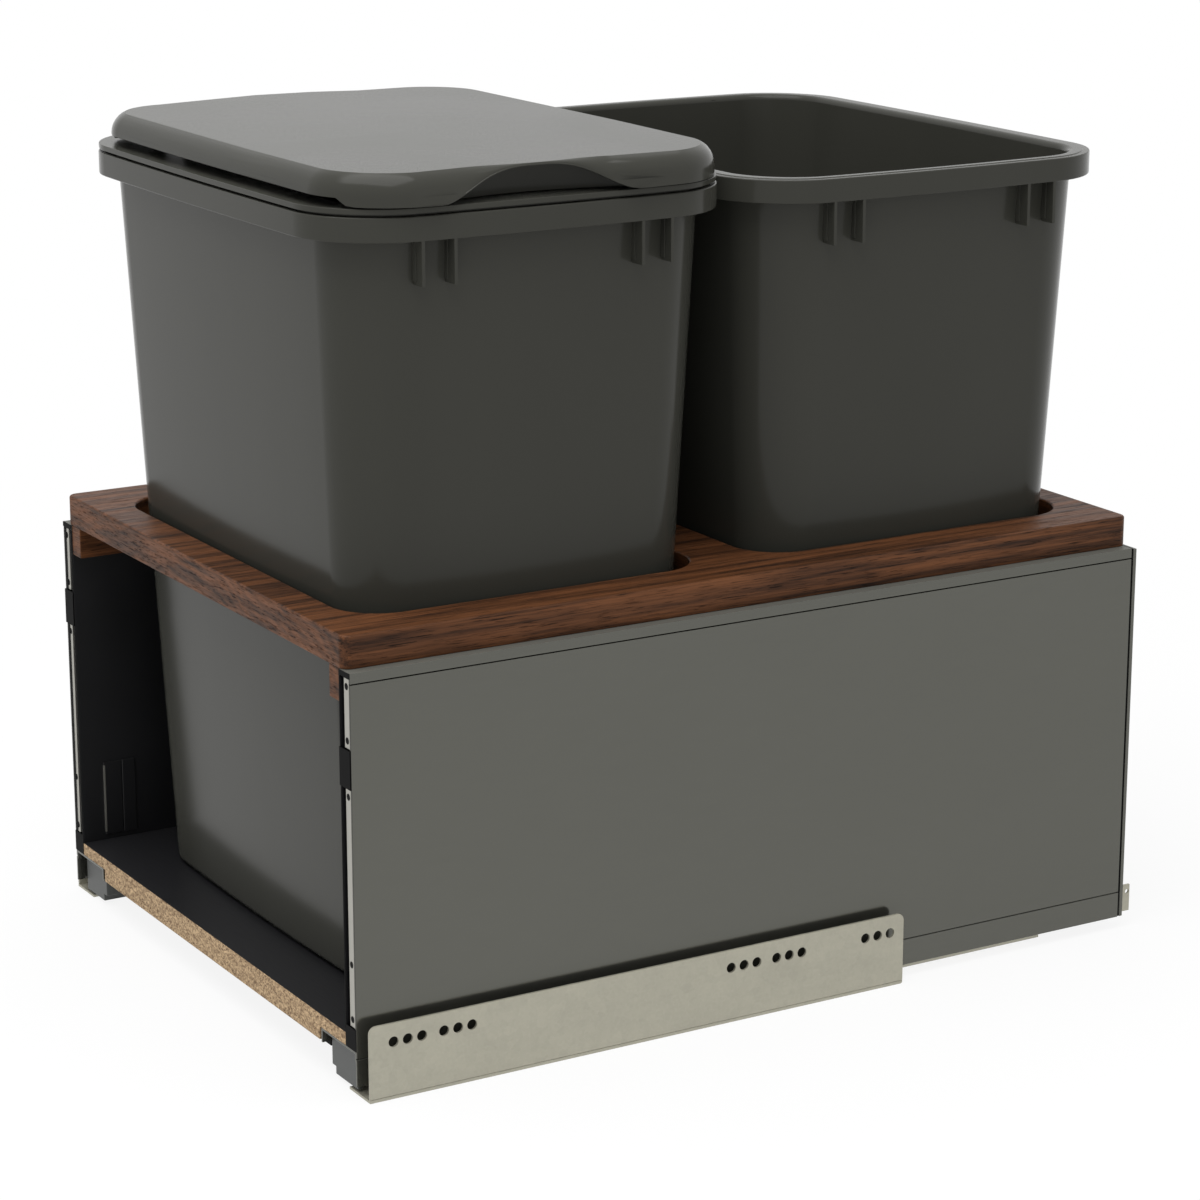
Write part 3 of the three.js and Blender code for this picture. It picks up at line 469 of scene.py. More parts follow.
def stand_for(node, bm, slot):
    """The usual end of a piece that takes the place of one solid."""
    settle(bm, f"{node}_finished", BODY_OF[node], slot, [node])


def make_flat(bm):
    """Merges the triangles of each flat face."""
    bmesh.ops.remove_doubles(bm, verts=bm.verts, dist=1e-6)
    bmesh.ops.dissolve_limit(bm, angle_limit=math.radians(0.6), verts=bm.verts, edges=bm.edges)


def copy_of(node):
    bm = bmesh.new()
    bm.from_mesh(frame["nodes"][node].data)
    make_flat(bm)
    return bm


def round_edges(bm, edges, width, segments=2):
    bmesh.ops.bevel(
        bm, geom=list(edges), offset=width, offset_type="OFFSET", segments=segments,
        profile=0.5, affect="EDGES", clamp_overlap=True, material=-1)


def round_sharp(bm, width, segments=2, angle=38):
    round_edges(bm, sharp_edges(bm, angle), width, segments)


def edges_of(verts):
    """The edges at some vertices, each once and always in the same order."""
    return list(dict.fromkeys(edge for vert in verts for edge in vert.link_edges))


def along(edges, axis):
    """Those edges that run along an axis, 0 to 2."""
    return [edge for edge in edges
            if abs((edge.verts[1].co - edge.verts[0].co).normalized()[axis]) > 0.999]


def near(edges, axis, *values):
    """Those edges that lie wholly at one of some places on an axis."""
    return [edge for edge in edges if any(
        all(abs(vert.co[axis] - value) < 0.02 * MM for vert in edge.verts) for value in values)]


def box(bm, corner, opposite):
    """A box between two opposite corners; returns its vertices."""
    low, high = (
        Vector([pick(pair) for pair in zip(corner, opposite)]) for pick in (min, max))
    place = Matrix.Translation((low + high) / 2) @ Matrix.Diagonal((*(high - low), 1))
    return bmesh.ops.create_cube(bm, size=1, matrix=place)["verts"]


def soft_box(bm, corner, opposite, width, segments=2):
    round_edges(bm, edges_of(box(bm, corner, opposite)), width, segments)


def new_box(corner, opposite):
    bm = bmesh.new()
    box(bm, corner, opposite)
    return bm


def rod(bm, radius, start, end, segments=24):
    """A round bar from one point to another; returns its vertices."""
    start, end = Vector(start), Vector(end)
    run = end - start
    turn = run.to_track_quat("Z", "Y").to_matrix().to_4x4()
    return bmesh.ops.create_cone(
        bm, cap_ends=True, segments=segments, radius1=radius, radius2=radius, depth=run.length,
        matrix=Matrix.Translation((start + end) / 2) @ turn)["verts"]


def carve(base, *cutters):
    """Takes each cutter's mesh work out of the base's, and returns what is left."""
    solid, *tools = (object_of(work, "work") for work in (base, *cutters))
    for tool in tools:
        step = solid.modifiers.new("carve", "BOOLEAN")
        step.object, step.operation, step.solver = tool, "DIFFERENCE", "EXACT"
    shaped = solid.evaluated_get(bpy.context.evaluated_depsgraph_get())
    bm = bmesh.new()
    bm.from_mesh(shaped.data)
    for used in (solid, *tools):
        mesh = used.data
        bpy.data.objects.remove(used)
        bpy.data.meshes.remove(mesh)
    make_flat(bm)
    return bm


# Rounded rectangles with swelling sides, drawn as rings and lofted

CORNER_STEPS = 12


class Section:
    """A rounded rectangle at one height."""

    def __init__(self, half_x, half_y, radius, z, centre_y):
        self.half_x, self.half_y, self.radius = half_x, half_y, radius
        self.z, self.centre_y = z, centre_y

    def point(self, index, side_steps):
        tubs = unit().tubs
        width, depth = self.half_x - tubs.bow_x, self.half_y - tubs.bow_y
        corner, step = divmod(index, CORNER_STEPS + side_steps)

        def on_corner(which, angle):
            sign_x = 1 if which in (0, 3) else -1
            sign_y = 1 if which < 2 else -1
            return Vector((
                sign_x * (width - self.radius) + self.radius * math.cos(angle),
                sign_y * (depth - self.radius) + self.radius * math.sin(angle)))

        quarter = math.pi / 2
        at = on_corner(corner, (corner + min(1, step / CORNER_STEPS)) * quarter)
        if step > CORNER_STEPS:
            end = on_corner((corner + 1) % 4, (corner + 1) * quarter)
            at = at.lerp(end, (step - CORNER_STEPS) / side_steps)
        share_x = min(1, abs(at.x) / width)
        share_y = min(1, abs(at.y) / depth)
        swell_x = math.copysign(tubs.bow_x * (1 - share_y ** 2) * share_x ** 4, at.x)
        swell_y = math.copysign(tubs.bow_y * (1 - share_x ** 2) * share_y ** 4, at.y)
        return Vector((at.x + swell_x, self.centre_y + at.y + swell_y, self.z))


class Loft:
    """A skin drawn from ring to ring."""

    def __init__(self, side_steps=10):
        self.bm = bmesh.new()
        self.side_steps = side_steps
        self.count = 4 * (CORNER_STEPS + side_steps)
        self.rings, self.edges = [], []

    def add(self, points):
        """points gives the place of each point of the ring by its index."""
        if not self.rings:
            verts = bmesh.ops.create_circle(
                self.bm, cap_ends=False, segments=self.count, radius=1)["verts"]
            verts.sort(key=lambda vert: math.atan2(vert.co.y, vert.co.x) % math.tau)
            edges = edges_of(verts)
        else:
            made = bmesh.ops.extrude_edge_only(self.bm, edges=self.edges[-1])["geom"]
            fresh = {item for item in made if isinstance(item, bmesh.types.BMVert)}
            verts = [
                next(edge.other_vert(old) for edge in old.link_edges
                     if edge.other_vert(old) in fresh)
                for old in self.rings[-1]]
            edges = [item for item in made if isinstance(item, bmesh.types.BMEdge)
                     and item.verts[0] in fresh and item.verts[1] in fresh]
        for index, vert in enumerate(verts):
            vert.co = points(index)
        self.rings.append(verts)
        self.edges.append(edges)

    def add_sections(self, *sections):
        for section in sections:
            self.add(lambda index, at=section: at.point(index, self.side_steps))

    def close(self):
        bmesh.ops.bridge_loops(self.bm, edges=self.edges[0] + self.edges[-1])

    def cap(self, which):
        return bmesh.ops.edgeloop_fill(self.bm, edges=self.edges[which])["faces"][0]

    def soften(self, rounding):
        """rounding gives, by ring, a width in millimetres and a number of segments."""
        for index, (width, segments) in rounding.items():
            round_edges(self.bm, self.edges[index], width * MM, segments)

    def done(self):
        bmesh.ops.recalc_face_normals(self.bm, faces=self.bm.faces)
        return self.bm


# ---- bins, ring and lid

class TubFrame:
    """A bin's sections, worked out from its solid's box."""

    def __init__(self, node):
        self.low, self.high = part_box(node)
        self.reach = (self.high - self.low) / 2
        self.centre_y = (self.low.y + self.high.y) / 2

    def wall(self, z, inset=0.0):
        tubs = unit().tubs
        drop = self.high.z - z
        share = drop / (self.high.z - self.low.z)
        radius = tubs.wall_radius + (tubs.base_radius - tubs.wall_radius) * share
        return Section(
            self.reach.x - tubs.wall_set_in_x - tubs.taper_x * drop - inset,
            self.reach.y - tubs.wall_set_in_y - tubs.taper_y * drop - inset,
            radius - inset, z, self.centre_y)

    def rim(self, z, inset=0.0):
        return Section(
            self.reach.x - inset, self.reach.y - inset, unit().tubs.rim_radius - inset, z,
            self.centre_y)

    def side_x(self, y, inset=0.0):
        """Where the bowed side of the rim, or of what follows it, lies at a place along it."""
        tubs = unit().tubs
        share = (y - self.centre_y) / (self.reach.y - inset - tubs.bow_y)
        return self.reach.x - inset - tubs.bow_x * share ** 2


def make_fins(bm, tub):
    """Fins under the rim on both sides, from the wall to just inside the apron's outer face,
    each with a thicker root."""
    tubs = unit().tubs
    sunk, shy, edge = mm(1.5, 0.2, 0.2)
    root_half, root_reach, root_rise = mm(1.6, 0.6, 2)
    under = tub.high.z - tubs.wall
    foot = tub.high.z - tubs.apron - tubs.fin_drop
    start = tub.wall(foot).half_x - sunk
    root_end = tub.wall(under).half_x + root_reach
    for place in (-tubs.fin_outer, -tubs.fin_inner, tubs.fin_inner, tubs.fin_outer):
        y = tub.centre_y + place
        tip = tub.side_x(y) - shy
        for side in (-1, 1):
            for half, end, rise in (
                    (tubs.fin_wall / 2, tip, 0), (root_half, root_end, root_rise)):
                soft_box(bm, (side * start, y - half, foot + rise),
                         (side * end, y + half, under + 0.5 * MM), edge)


def make_tub(node):
    tubs = unit().tubs
    tub = TubFrame(node)
    top, bottom = tub.high.z, tub.low.z
    under, hem, ledge = top - tubs.wall, top - tubs.apron, top - tubs.ledge_drop
    middle = (top + bottom) / 2
    skin = Loft()
    skin.add_sections(
        tub.wall(bottom), tub.wall(middle), tub.wall(under), tub.rim(under, tubs.apron_wall),
        tub.rim(hem, tubs.apron_wall), tub.rim(hem), tub.rim(ledge),
        tub.rim(ledge, tubs.ledge), tub.rim(top, tubs.ledge + 0.3 * MM),
        tub.wall(top, tubs.wall), tub.wall(middle, tubs.wall),
        tub.wall(bottom + tubs.floor, tubs.wall))
    foot_edge, foot_rise, floor_edge, floor_rise = mm(14, -1.2, 16, 0.8)
    foot, floor = skin.cap(0), skin.cap(-1)
    bmesh.ops.inset_individual(skin.bm, faces=[foot], thickness=foot_edge, depth=foot_rise)
    bmesh.ops.inset_individual(skin.bm, faces=[floor], thickness=floor_edge, depth=floor_rise)
    skin.soften({
        0: (5, 5), 2: (1.2, 2), 3: (0.6, 2), 4: (0.5, 2), 5: (0.7, 3), 6: (0.8, 4), 7: (0.15, 1),
        8: (0.25, 2), 9: (3.6, 6), 11: (6, 5)})
    bm = skin.done()
    make_fins(bm, tub)
    stand_for(node, bm, "bin_plastic")


def hinge_places(tub):
    """The two hinges' middles."""
    lid = unit().lid
    x = -(tub.reach.x - lid.hinge_in)
    z = tub.high.z + lid.ring_gap + lid.ring_plate + lid.hinge_rise
    return [Vector((x, tub.centre_y + side * lid.hinge_spacing / 2, z)) for side in (-1, 1)]


def make_lid_ring(tub):
    """The frame that is clipped on the front bin's rim, with its hinge lugs."""
    lid, tubs = unit().lid, unit().tubs
    rim = tub.high.z
    base = rim + lid.ring_gap
    top = base + lid.ring_plate
    outer = tubs.wall + 0.4 * MM
    inner = outer + lid.ring_skirt_wall
    skin = Loft()
    skin.add_sections(
        tub.rim(base, lid.ring_set_in), tub.rim(top, lid.ring_set_in),
        tub.rim(top, lid.ring_margin), tub.rim(base, lid.ring_margin),
        tub.wall(rim, inner), tub.wall(rim - lid.ring_skirt, inner),
        tub.wall(rim - lid.ring_skirt, outer), tub.wall(rim, outer),
        tub.rim(rim, lid.ring_seat), tub.rim(base, lid.ring_seat))
    skin.close()
    skin.soften({0: (0.3, 2), 1: (0.5, 3), 2: (1, 3), 3: (0.4, 2), 5: (0.6, 2), 6: (0.6, 2)})
    bm = skin.done()
    lug_reach, sunk = mm(3, 0.5)
    for hinge in hinge_places(tub):
        half = Vector((lug_reach, lid.lug_width / 2, lug_reach))
        low = hinge - half
        low.z = top - sunk
        soft_box(bm, low, hinge + half, 0.8 * MM, 3)
    stand_for("lid_ring", bm, "bin_plastic")


def smooth(value, start, end):
    """0 at start, 1 at end, and smooth between."""
    share = min(1.0, max(0.0, (value - start) / (end - start)))
    return share * share * (3 - 2 * share)


class LidShape:
    """How the lid's edge changes from place to place round it."""

    def __init__(self, tub, low, high):
        self.sizes, self.tub = unit().lid, tub
        self.foot, self.top = low.z, high.z
        self.reach = tub.reach - Vector((self.sizes.set_in, self.sizes.set_in, 0))
        self.scoop_y = tub.centre_y + self.sizes.scoop_shift

    def at(self, index, steps, inset, z):
        corner = unit().tubs.rim_radius - self.sizes.set_in
        return Section(
            self.reach.x - inset, self.reach.y - inset, corner - inset, z, self.tub.centre_y
        ).point(index, steps)

    def scoop(self, place):
        """From 0 beside the finger scoop to 1 over its middle."""
        if place.x < self.reach.x * 0.8:
            return 0.0
        share = min(1.0, abs(place.y - self.scoop_y) / self.sizes.scoop_half)
        return 0.5 + 0.5 * math.cos(math.pi * share ** 1.5)

    def skirt(self, place):
        """The height of the skirt's lower edge."""
        sizes = self.sizes
        front = self.tub.centre_y - self.reach.y + sizes.front_depth
        end = self.reach.x - sizes.front_end
        blend = 2.5 * MM
        lifted = smooth(place.y, front + blend, front - blend)
        lifted *= smooth(place.x, end + blend, end - blend)
        hinged = smooth(place.x, -0.94 * self.reach.x, -0.96 * self.reach.x)
        lift = max(sizes.foot_gap, sizes.front_lift * lifted, sizes.hinge_lift * hinged)
        return self.foot + lift + (sizes.scoop_rise - lift) * self.scoop(place)

    def rounding(self, place):
        """The width and height of the top edge, which shrink over the scoop's middle."""
        sizes = self.sizes
        room = self.top - self.skirt(place) - sizes.scoop_lip
        width, drop = sizes.edge_width, sizes.edge_drop
        if place.x > self.reach.x * 0.8:
            share = abs(place.y - self.scoop_y) / sizes.scoop_half
            width = 0.5 * MM + (width - 0.5 * MM) * smooth(share, 0, 0.8)
        return width, min(drop, room)


def make_lid_shell(shape):
    """The lid's skin, from the middle of its underside round the skirt to the top's middle."""
    sizes = shape.sizes
    steps, slope = 40, math.radians(68)
    under_margin, top_margin, flare, least = mm(16, 26, 0.35, 0.05)
    skin = Loft(steps)

    def ring(inset_and_height):
        def points(index):
            place = shape.at(index, steps, 0, shape.foot)
            inset, z = inset_and_height(place)
            return shape.at(index, steps, inset, z)
        skin.add(points)

    def arc(angle, wall, plate):
        """One line of the rounded edge, on the outside or a wall's thickness inside it."""
        def line(place):
            width, drop = (max(size - wall, least) for size in shape.rounding(place))
            inset = wall + width * (1 - math.cos(angle)) / (1 - math.cos(slope))
            z = shape.top - plate - drop * (1 - math.sin(angle) / math.sin(slope))
            return inset, max(z, shape.skirt(place) + least)
        return line

    ring(lambda place: (under_margin, shape.top - sizes.plate))
    for share in (1, 0.5, 0):
        ring(arc(slope * share, sizes.wall, sizes.plate))
    ring(lambda place: (sizes.wall, shape.skirt(place)))
    for lift in (0, sizes.scoop_lip * 0.75):
        ring(lambda place, lift=lift: (
            -flare * smooth(shape.scoop(place), 0, 0.3), shape.skirt(place) + lift))
    outline = len(skin.edges) - 2
    for step in range(8):
        ring(arc(slope * step / 7, 0, 0))
    crease = skin.edges[-1]
    ring(lambda place: (top_margin, shape.top))
    skin.cap(0)
    skin.cap(-1)
    for edge in crease:
        edge.smooth = False
    skin.soften({outline: (0.3, 2)})
    return skin.done()


def add_bosses(bm, shape, hinge, gap):
    """The lid's two bosses round a hinge pin, each with a web up to the lid's top."""
    outer_end, web, sunk = mm(13.5, 3, 0.1)
    inner_end = shape.sizes.lug_width / 2 + gap
    x, z = hinge.x, hinge.z
    for side in (-1, 1):
        ends = sorted((hinge.y + side * inner_end, hinge.y + side * outer_end))
        verts = rod(bm, shape.sizes.boss_radius, (x, ends[0], z), (x, ends[1], z))
        round_edges(bm, near(edges_of(verts), 1, *ends), 0.4 * MM)
        box(bm, (x - gap, ends[0] + gap, z),
            (x + web, ends[1] - gap, shape.top - shape.sizes.plate + sunk))


def add_scoop_wall(bm, shape):
    """The bowed wall that closes the lid behind its finger scoop."""
    sizes = shape.sizes
    thick, lift, sunk = mm(1.6, 0.4, 0.1)
    back = shape.reach.x - sizes.wall - sizes.scoop_depth
    reach = sizes.scoop_half + sizes.wall
    others = set(bm.verts)
    verts = box(bm, (back - thick, shape.scoop_y - reach, shape.foot + lift),
                (back, shape.scoop_y + reach, shape.top - sizes.plate + sunk))
    bmesh.ops.subdivide_edges(bm, edges=along(edges_of(verts), 1), cuts=28)
    for vert in set(bm.verts) - others:
        share = min(1.0, abs(vert.co.y - shape.scoop_y) / sizes.scoop_half)
        bowed = shape.tub.side_x(vert.co.y, sizes.set_in) - shape.reach.x
        vert.co.x += sizes.scoop_depth * share ** 2 + bowed


def make_lid(tub):
    """The lid with its finger scoop and hinge bosses."""
    shape = LidShape(tub, *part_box("lid"))
    hinges = hinge_places(tub)
    gap, past, notch_depth, notch_rise = mm(0.5, 20, 7, 6.5)
    half = shape.sizes.lug_width / 2 + gap
    bm = carve(make_lid_shell(shape), *(
        new_box((-tub.reach.x - past, hinge.y - half, shape.foot - past),
                (hinge.x + notch_depth, hinge.y + half, hinge.z + notch_rise))
        for hinge in hinges))
    for edge in near(bm.edges, 2, shape.top):
        if len(edge.link_faces) == 2:
            edge.smooth = edge.calc_face_angle(0) < math.radians(8)
    for hinge in hinges:
        add_bosses(bm, shape, hinge, gap)
    add_scoop_wall(bm, shape)
    stand_for("lid", bm, "bin_plastic")


class WASTEUNIT_OT_bins(bpy.types.Operator):
    """Makes the two bins, and the front one's ring and lid"""
    bl_idname = "waste_unit.bins"
    bl_label = "Bins and lid"

    def execute(self, context):
        make_tub("front_bin")
        make_tub("rear_bin")
        tub = TubFrame("front_bin")
        make_lid_ring(tub)
        make_lid(tub)
        return {"FINISHED"}


# ---- board and sides

def make_board():
    """The walnut board with its two cut-outs."""
    sizes = unit().board
    low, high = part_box("walnut_board")
    past = 20 * MM
    bm = new_box(low, high)
    round_edges(bm, along(bm.edges, 2), sizes.corner, 5)
    openings = []
    for node, shift in (("front_bin", 0), ("rear_bin", sizes.rear_shift)):
        centre = TubFrame(node).centre_y - shift
        tool = new_box((-sizes.hole_half_x, centre - sizes.hole_half_y, low.z - past),
                       (sizes.hole_half_x, centre + sizes.hole_half_y, high.z + past))
        round_edges(tool, along(tool.edges, 2), sizes.hole_radius, 18)
        openings.append(tool)
    bm = carve(bm, *openings)
    round_edges(bm, near(sharp_edges(bm), 2, high.z), sizes.edge_round, 6)
    round_edges(bm, near(sharp_edges(bm), 2, low.z), 0.8 * MM)
    stand_for("walnut_board", bm, "walnut")


class Shell:
    """Where one drawer side's skins begin and end."""

    def __init__(self, side):
        skin, trim, base = (
            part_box(f"side_{name}_{side}") for name in ("outer_skin", "top_trim", "base_profile"))
        self.outer = max(skin[0].x, skin[1].x, key=abs)
        self.inner = min(trim[0].x, trim[1].x, key=abs)
        self.inward = -math.copysign(1, self.outer)
        self.front, self.rear = skin[0].y, skin[1].y
        self.foot, self.seam, self.top = base[0].z, skin[0].z, trim[1].z


def make_skin(node, between):
    """A coated skin, cut short of the back panel and, between the two others, of them."""
    low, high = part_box(node)
    past, rear, seam = mm(5, 1.2, 0.45)
    start, end = low - Vector((past,) * 3), high + Vector((past,) * 3)
    cuts = [new_box((start.x, high.y - rear, start.z), end)]
    if between:
        cuts.append(new_box(start, (end.x, end.y, low.z + seam)))
        cuts.append(new_box((start.x, start.y, high.z - seam), end))
    bm = carve(copy_of(node), *cuts)
    round_sharp(bm, 0.25 * MM)
    stand_for(node, bm, "side_grey")


def make_adjuster_cover(node):
    """A cover with a slit across it, and a thin zinc strip along its front that is a painted
    highlight of its front edge.
    """
    low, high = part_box(node)
    past, slit = mm(1, 0.5)
    split = low.y + (high.y - low.y) * 0.56
    bm = carve(copy_of(node), new_box(
        (low.x - past, split, low.z - past), (high.x + past, split + slit, high.z + past)))
    round_sharp(bm, 0.4 * MM, 3)
    stand_for(node, bm, "dark_steel")
    # The thin zinc strip on the cover's front is a painted highlight: it stands in for light
    # reflected off the front edge.
    thin, proud, width, short = mm(0.04, 0.1, 0.9, 2)
    edge = new_box((low.x - thin, low.y - proud, low.z + short),
                   (high.x + thin, low.y + width, high.z - short))
    round_sharp(edge, 0.02 * MM, 1)
    settle(edge, f"{node}_bare_edge", BODY_OF[node], "zinc")


def make_front_cap(side):
    """The plug in a side's front end, with a thin frame over the skins' ends, a block between
    the two fixing strips and pegs in their holes. On the left the frame covers more."""
    node = f"side_front_cap_{side}"
    shell = Shell(side)
    inner, outer, top, foot = shell.inner, shell.outer, shell.top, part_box(node)[0].z
    lower, upper = (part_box(f"front_fixing_strip_{name}_{side}") for name in ("lower", "upper"))
    edge, gap, sunk, corner = mm(1.2, 0.5, 0.02, 0.08)
    over = 3.8 * MM if side == "left" else edge
    over_strip, over_skin, filler, block = mm(0.15, 0.25, 0.3, 0.8)
    over_strip += shell.front - upper[0].y
    bm = copy_of(node)
    for x0, x1, z0, z1, proud in (
        (outer, outer + shell.inward * over, foot, top, over_strip),
        (inner, inner - shell.inward * edge, foot, top, over_skin),
        (inner, outer, upper[1].z + gap, top, filler),
        (inner, outer, lower[1].z + gap, upper[0].z - gap, block),
        (inner, outer, foot, lower[0].z - gap, filler),
    ):
        soft_box(bm, (x0, shell.front - proud, z0), (x1, shell.front + sunk, z1), corner, 1)
    end, second, radius, proud, root = mm(4.5, 32.5, 2, 0.06, 0.5)
    for strip, z in (
        (upper, upper[0].z + end), (upper, upper[1].z - end), (lower, lower[0].z + end),
        (lower, lower[0].z + end + second), (lower, lower[1].z - end),
    ):
        x = (strip[0].x + strip[1].x) / 2
        rod(bm, radius, (x, strip[0].y - proud, z), (x, strip[1].y + root, z), 20)
    stand_for(node, bm, "black_plastic")


def make_back_bracket(side):
    """The bracket in a side's rear end, with a strip that closes the gap to the back panel."""
    node = f"back_bracket_{side}"
    shell = Shell(side)
    bm = copy_of(node)
    round_sharp(bm, 0.4 * MM, 3)
    set_in, sheet, depth, short = mm(0.35, 1, 1.6, 0.3)
    edge = shell.outer + shell.inward * set_in
    for inside, z0, z1 in (
            (shell.inner, shell.seam, shell.top - short),
            (shell.outer + shell.inward * sheet, shell.foot + short, shell.seam)):
        box(bm, (edge, shell.rear - depth, z0), (inside, shell.rear, z1))
    stand_for(node, bm, "black_plastic")


class WASTEUNIT_OT_drawer(bpy.types.Operator):
    """Makes the board and the drawer sides' skins, covers, caps and brackets"""
    bl_idname = "waste_unit.drawer"
    bl_label = "Board and sides"

    def execute(self, context):
        make_board()
        for side in SIDES:
            for name in ("side_base_profile", "side_outer_skin", "side_top_trim"):
                make_skin(f"{name}_{side}", name == "side_outer_skin")
            make_adjuster_cover(f"adjuster_cover_{side}")
            make_front_cap(side)
            make_back_bracket(side)
        return {"FINISHED"}


# ---- runners, levers and screws

def make_cabinet_rail(side):
    """A tall perforated plate, a flange under it and a lip on the flange, bent from one sheet.
    Behind the plate only the lip goes on, with a narrow tail of the flange."""
    sizes = unit().runners
    node = f"runner_rail_{side}"
    low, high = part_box(node)
    sign = 1 if side == "right" else -1
    face, tip = (high.x, low.x) if sign > 0 else (low.x, high.x)
    side_front = Shell(side).front
    plate_back = low.y + sizes.plate_length
    past, groove, groove_depth = mm(5, 0.5, 0.35)
    out = sign * past
    front, back, above = low.y - past, high.y + past, high.z + past
    inside = face - sign * sizes.sheet
    tip_in = tip + sign * sizes.sheet
    bm = carve(
        new_box(low, high),
        new_box((inside, front, sizes.sheet), (tip_in, back, above)),
        new_box((tip_in + out, front, sizes.lip), (tip - out, back, above)),
        new_box((face + out, plate_back, low.z - past), (tip + sign * sizes.tail, back, above)),
        new_box((tip_in + out, front, sizes.sheet),
                (tip - out, side_front + sizes.lip_front, above)))
    crests = near(along(bm.edges, 0), 2, high.z)
    round_edges(bm, near(crests, 1, low.y, plate_back), sizes.corner, 8)
    feet = near(along(bm.edges, 0), 2, low.z)
    round_edges(bm, near(feet, 1, plate_back), sizes.bend, 4)
    bends = near(along(bm.edges, 1), 2, low.z)
    round_edges(bm, near(bends, 0, face, tip), sizes.bend, 4)
    hem = new_box((face + out, front, low.z + sizes.hem),
                  (face - sign * groove_depth, back, low.z + sizes.hem + groove))
    holes = bmesh.new()
    for row in (0, 1, 7, 8, 10):
        for shift in (-sizes.hole_pitch, 0, sizes.hole_pitch):
            y = side_front + sizes.first_hole + row * sizes.system + shift
            rod(holes, sizes.hole_radius, (face + out, y, sizes.hole_height),
                (inside - out, y, sizes.hole_height), 32)
    bm = carve(bm, holes, hem)
    round_sharp(bm, 0.15 * MM, angle=50)
    stand_for(node, bm, "galvanised")


def make_middle_rail(node):
    """A middle rail with round lower bends."""
    bm = copy_of(node)
    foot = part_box(node)[0].z
    round_edges(bm, near(along(sharp_edges(bm), 1), 2, foot), 1.2 * MM, 4)
    round_sharp(bm, 0.2 * MM, angle=50)
    stand_for(node, bm, "galvanised")


def make_roller_cage(node):
    """A thin strip with a window for each steel roller."""
    sizes = unit().runners
    low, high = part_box(node)
    middle = (low + high) / 2
    radius = sizes.roller_radius
    half, thin, play, room, tall = mm(4.5, 0.45, 0.1, 0.2, 2)
    strip = new_box((low.x, low.y, middle.z - thin), (high.x, high.y, middle.z + thin))
    windows, rollers = bmesh.new(), bmesh.new()
    window, axle = Vector((half + room, radius + play, tall)), Vector((half, 0, 0))
    y = low.y + sizes.roller_margin
    while y <= high.y - sizes.roller_margin + 1e-6:
        place = Vector((middle.x, y, middle.z))
        box(windows, place - window, place + window)
        verts = rod(rollers, radius, place - axle, place + axle, 20)
        ends = near(edges_of(verts), 0, middle.x - half, middle.x + half)
        round_edges(rollers, ends, 0.25 * MM)
        y += sizes.roller_pitch
    strip = carve(strip, windows)
    round_sharp(strip, 0.12 * MM)
    stand_for(node, strip, "black_plastic")
    settle(rollers, f"{node}_rollers", BODY_OF[node], "zinc")


def make_soft_close(node):
    """A closed housing with a slot for its catch."""
    low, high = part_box(node)
    x = (low.x + high.x) / 2
    slot_half, slot_depth, slot_start, slot_end, past = mm(3, 4, 12, 40, 1)
    catch_half, catch_depth, catch_start, catch_end, proud = mm(2.4, 3.8, 14, 26, 0.2)
    bm = copy_of(node)
    round_sharp(bm, 0.6 * MM, angle=20)
    bm = carve(bm, new_box(
        (x - slot_half, low.y + slot_start, high.z - slot_depth),
        (x + slot_half, high.y - slot_end, high.z + past)))
    soft_box(bm, (x - catch_half, low.y + catch_start, high.z - catch_depth),
             (x + catch_half, low.y + catch_end, high.z + proud), 0.5 * MM, 3)
    stand_for(node, bm, "grey_plastic")


def make_lever(node):
    """A release lever with ridges under its tip."""
    tip, margin, first, pitch, width, proud, sunk = mm(4, 1, 3, 2.4, 1.1, 0.35, 0.5)
    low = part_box(node)[0]
    bm = copy_of(node)
    round_sharp(bm, 0.5 * MM, 3)
    across = sorted(vert.co.x for vert in bm.verts if vert.co.y < low.y + tip)
    for index in range(4):
        y = low.y + first + index * pitch
        soft_box(bm, (across[0] + margin, y, low.z - proud),
                 (across[-1] - margin, y + width, low.z + sunk), 0.3 * MM)
    stand_for(node, bm, "black_plastic")


class WASTEUNIT_OT_runners(bpy.types.Operator):
    """Makes the rails, roller cages, soft-close units and release levers"""
    bl_idname = "waste_unit.runners"
    bl_label = "Runners"

    def execute(self, context):
        for side in SIDES:
            make_cabinet_rail(side)
            make_middle_rail(f"middle_rail_{side}")
            make_roller_cage(f"lower_roller_cage_{side}")
            make_roller_cage(f"upper_roller_cage_{side}")
            make_soft_close(f"soft_close_unit_{side}")
            make_lever(f"release_lever_{side}")
        return {"FINISHED"}


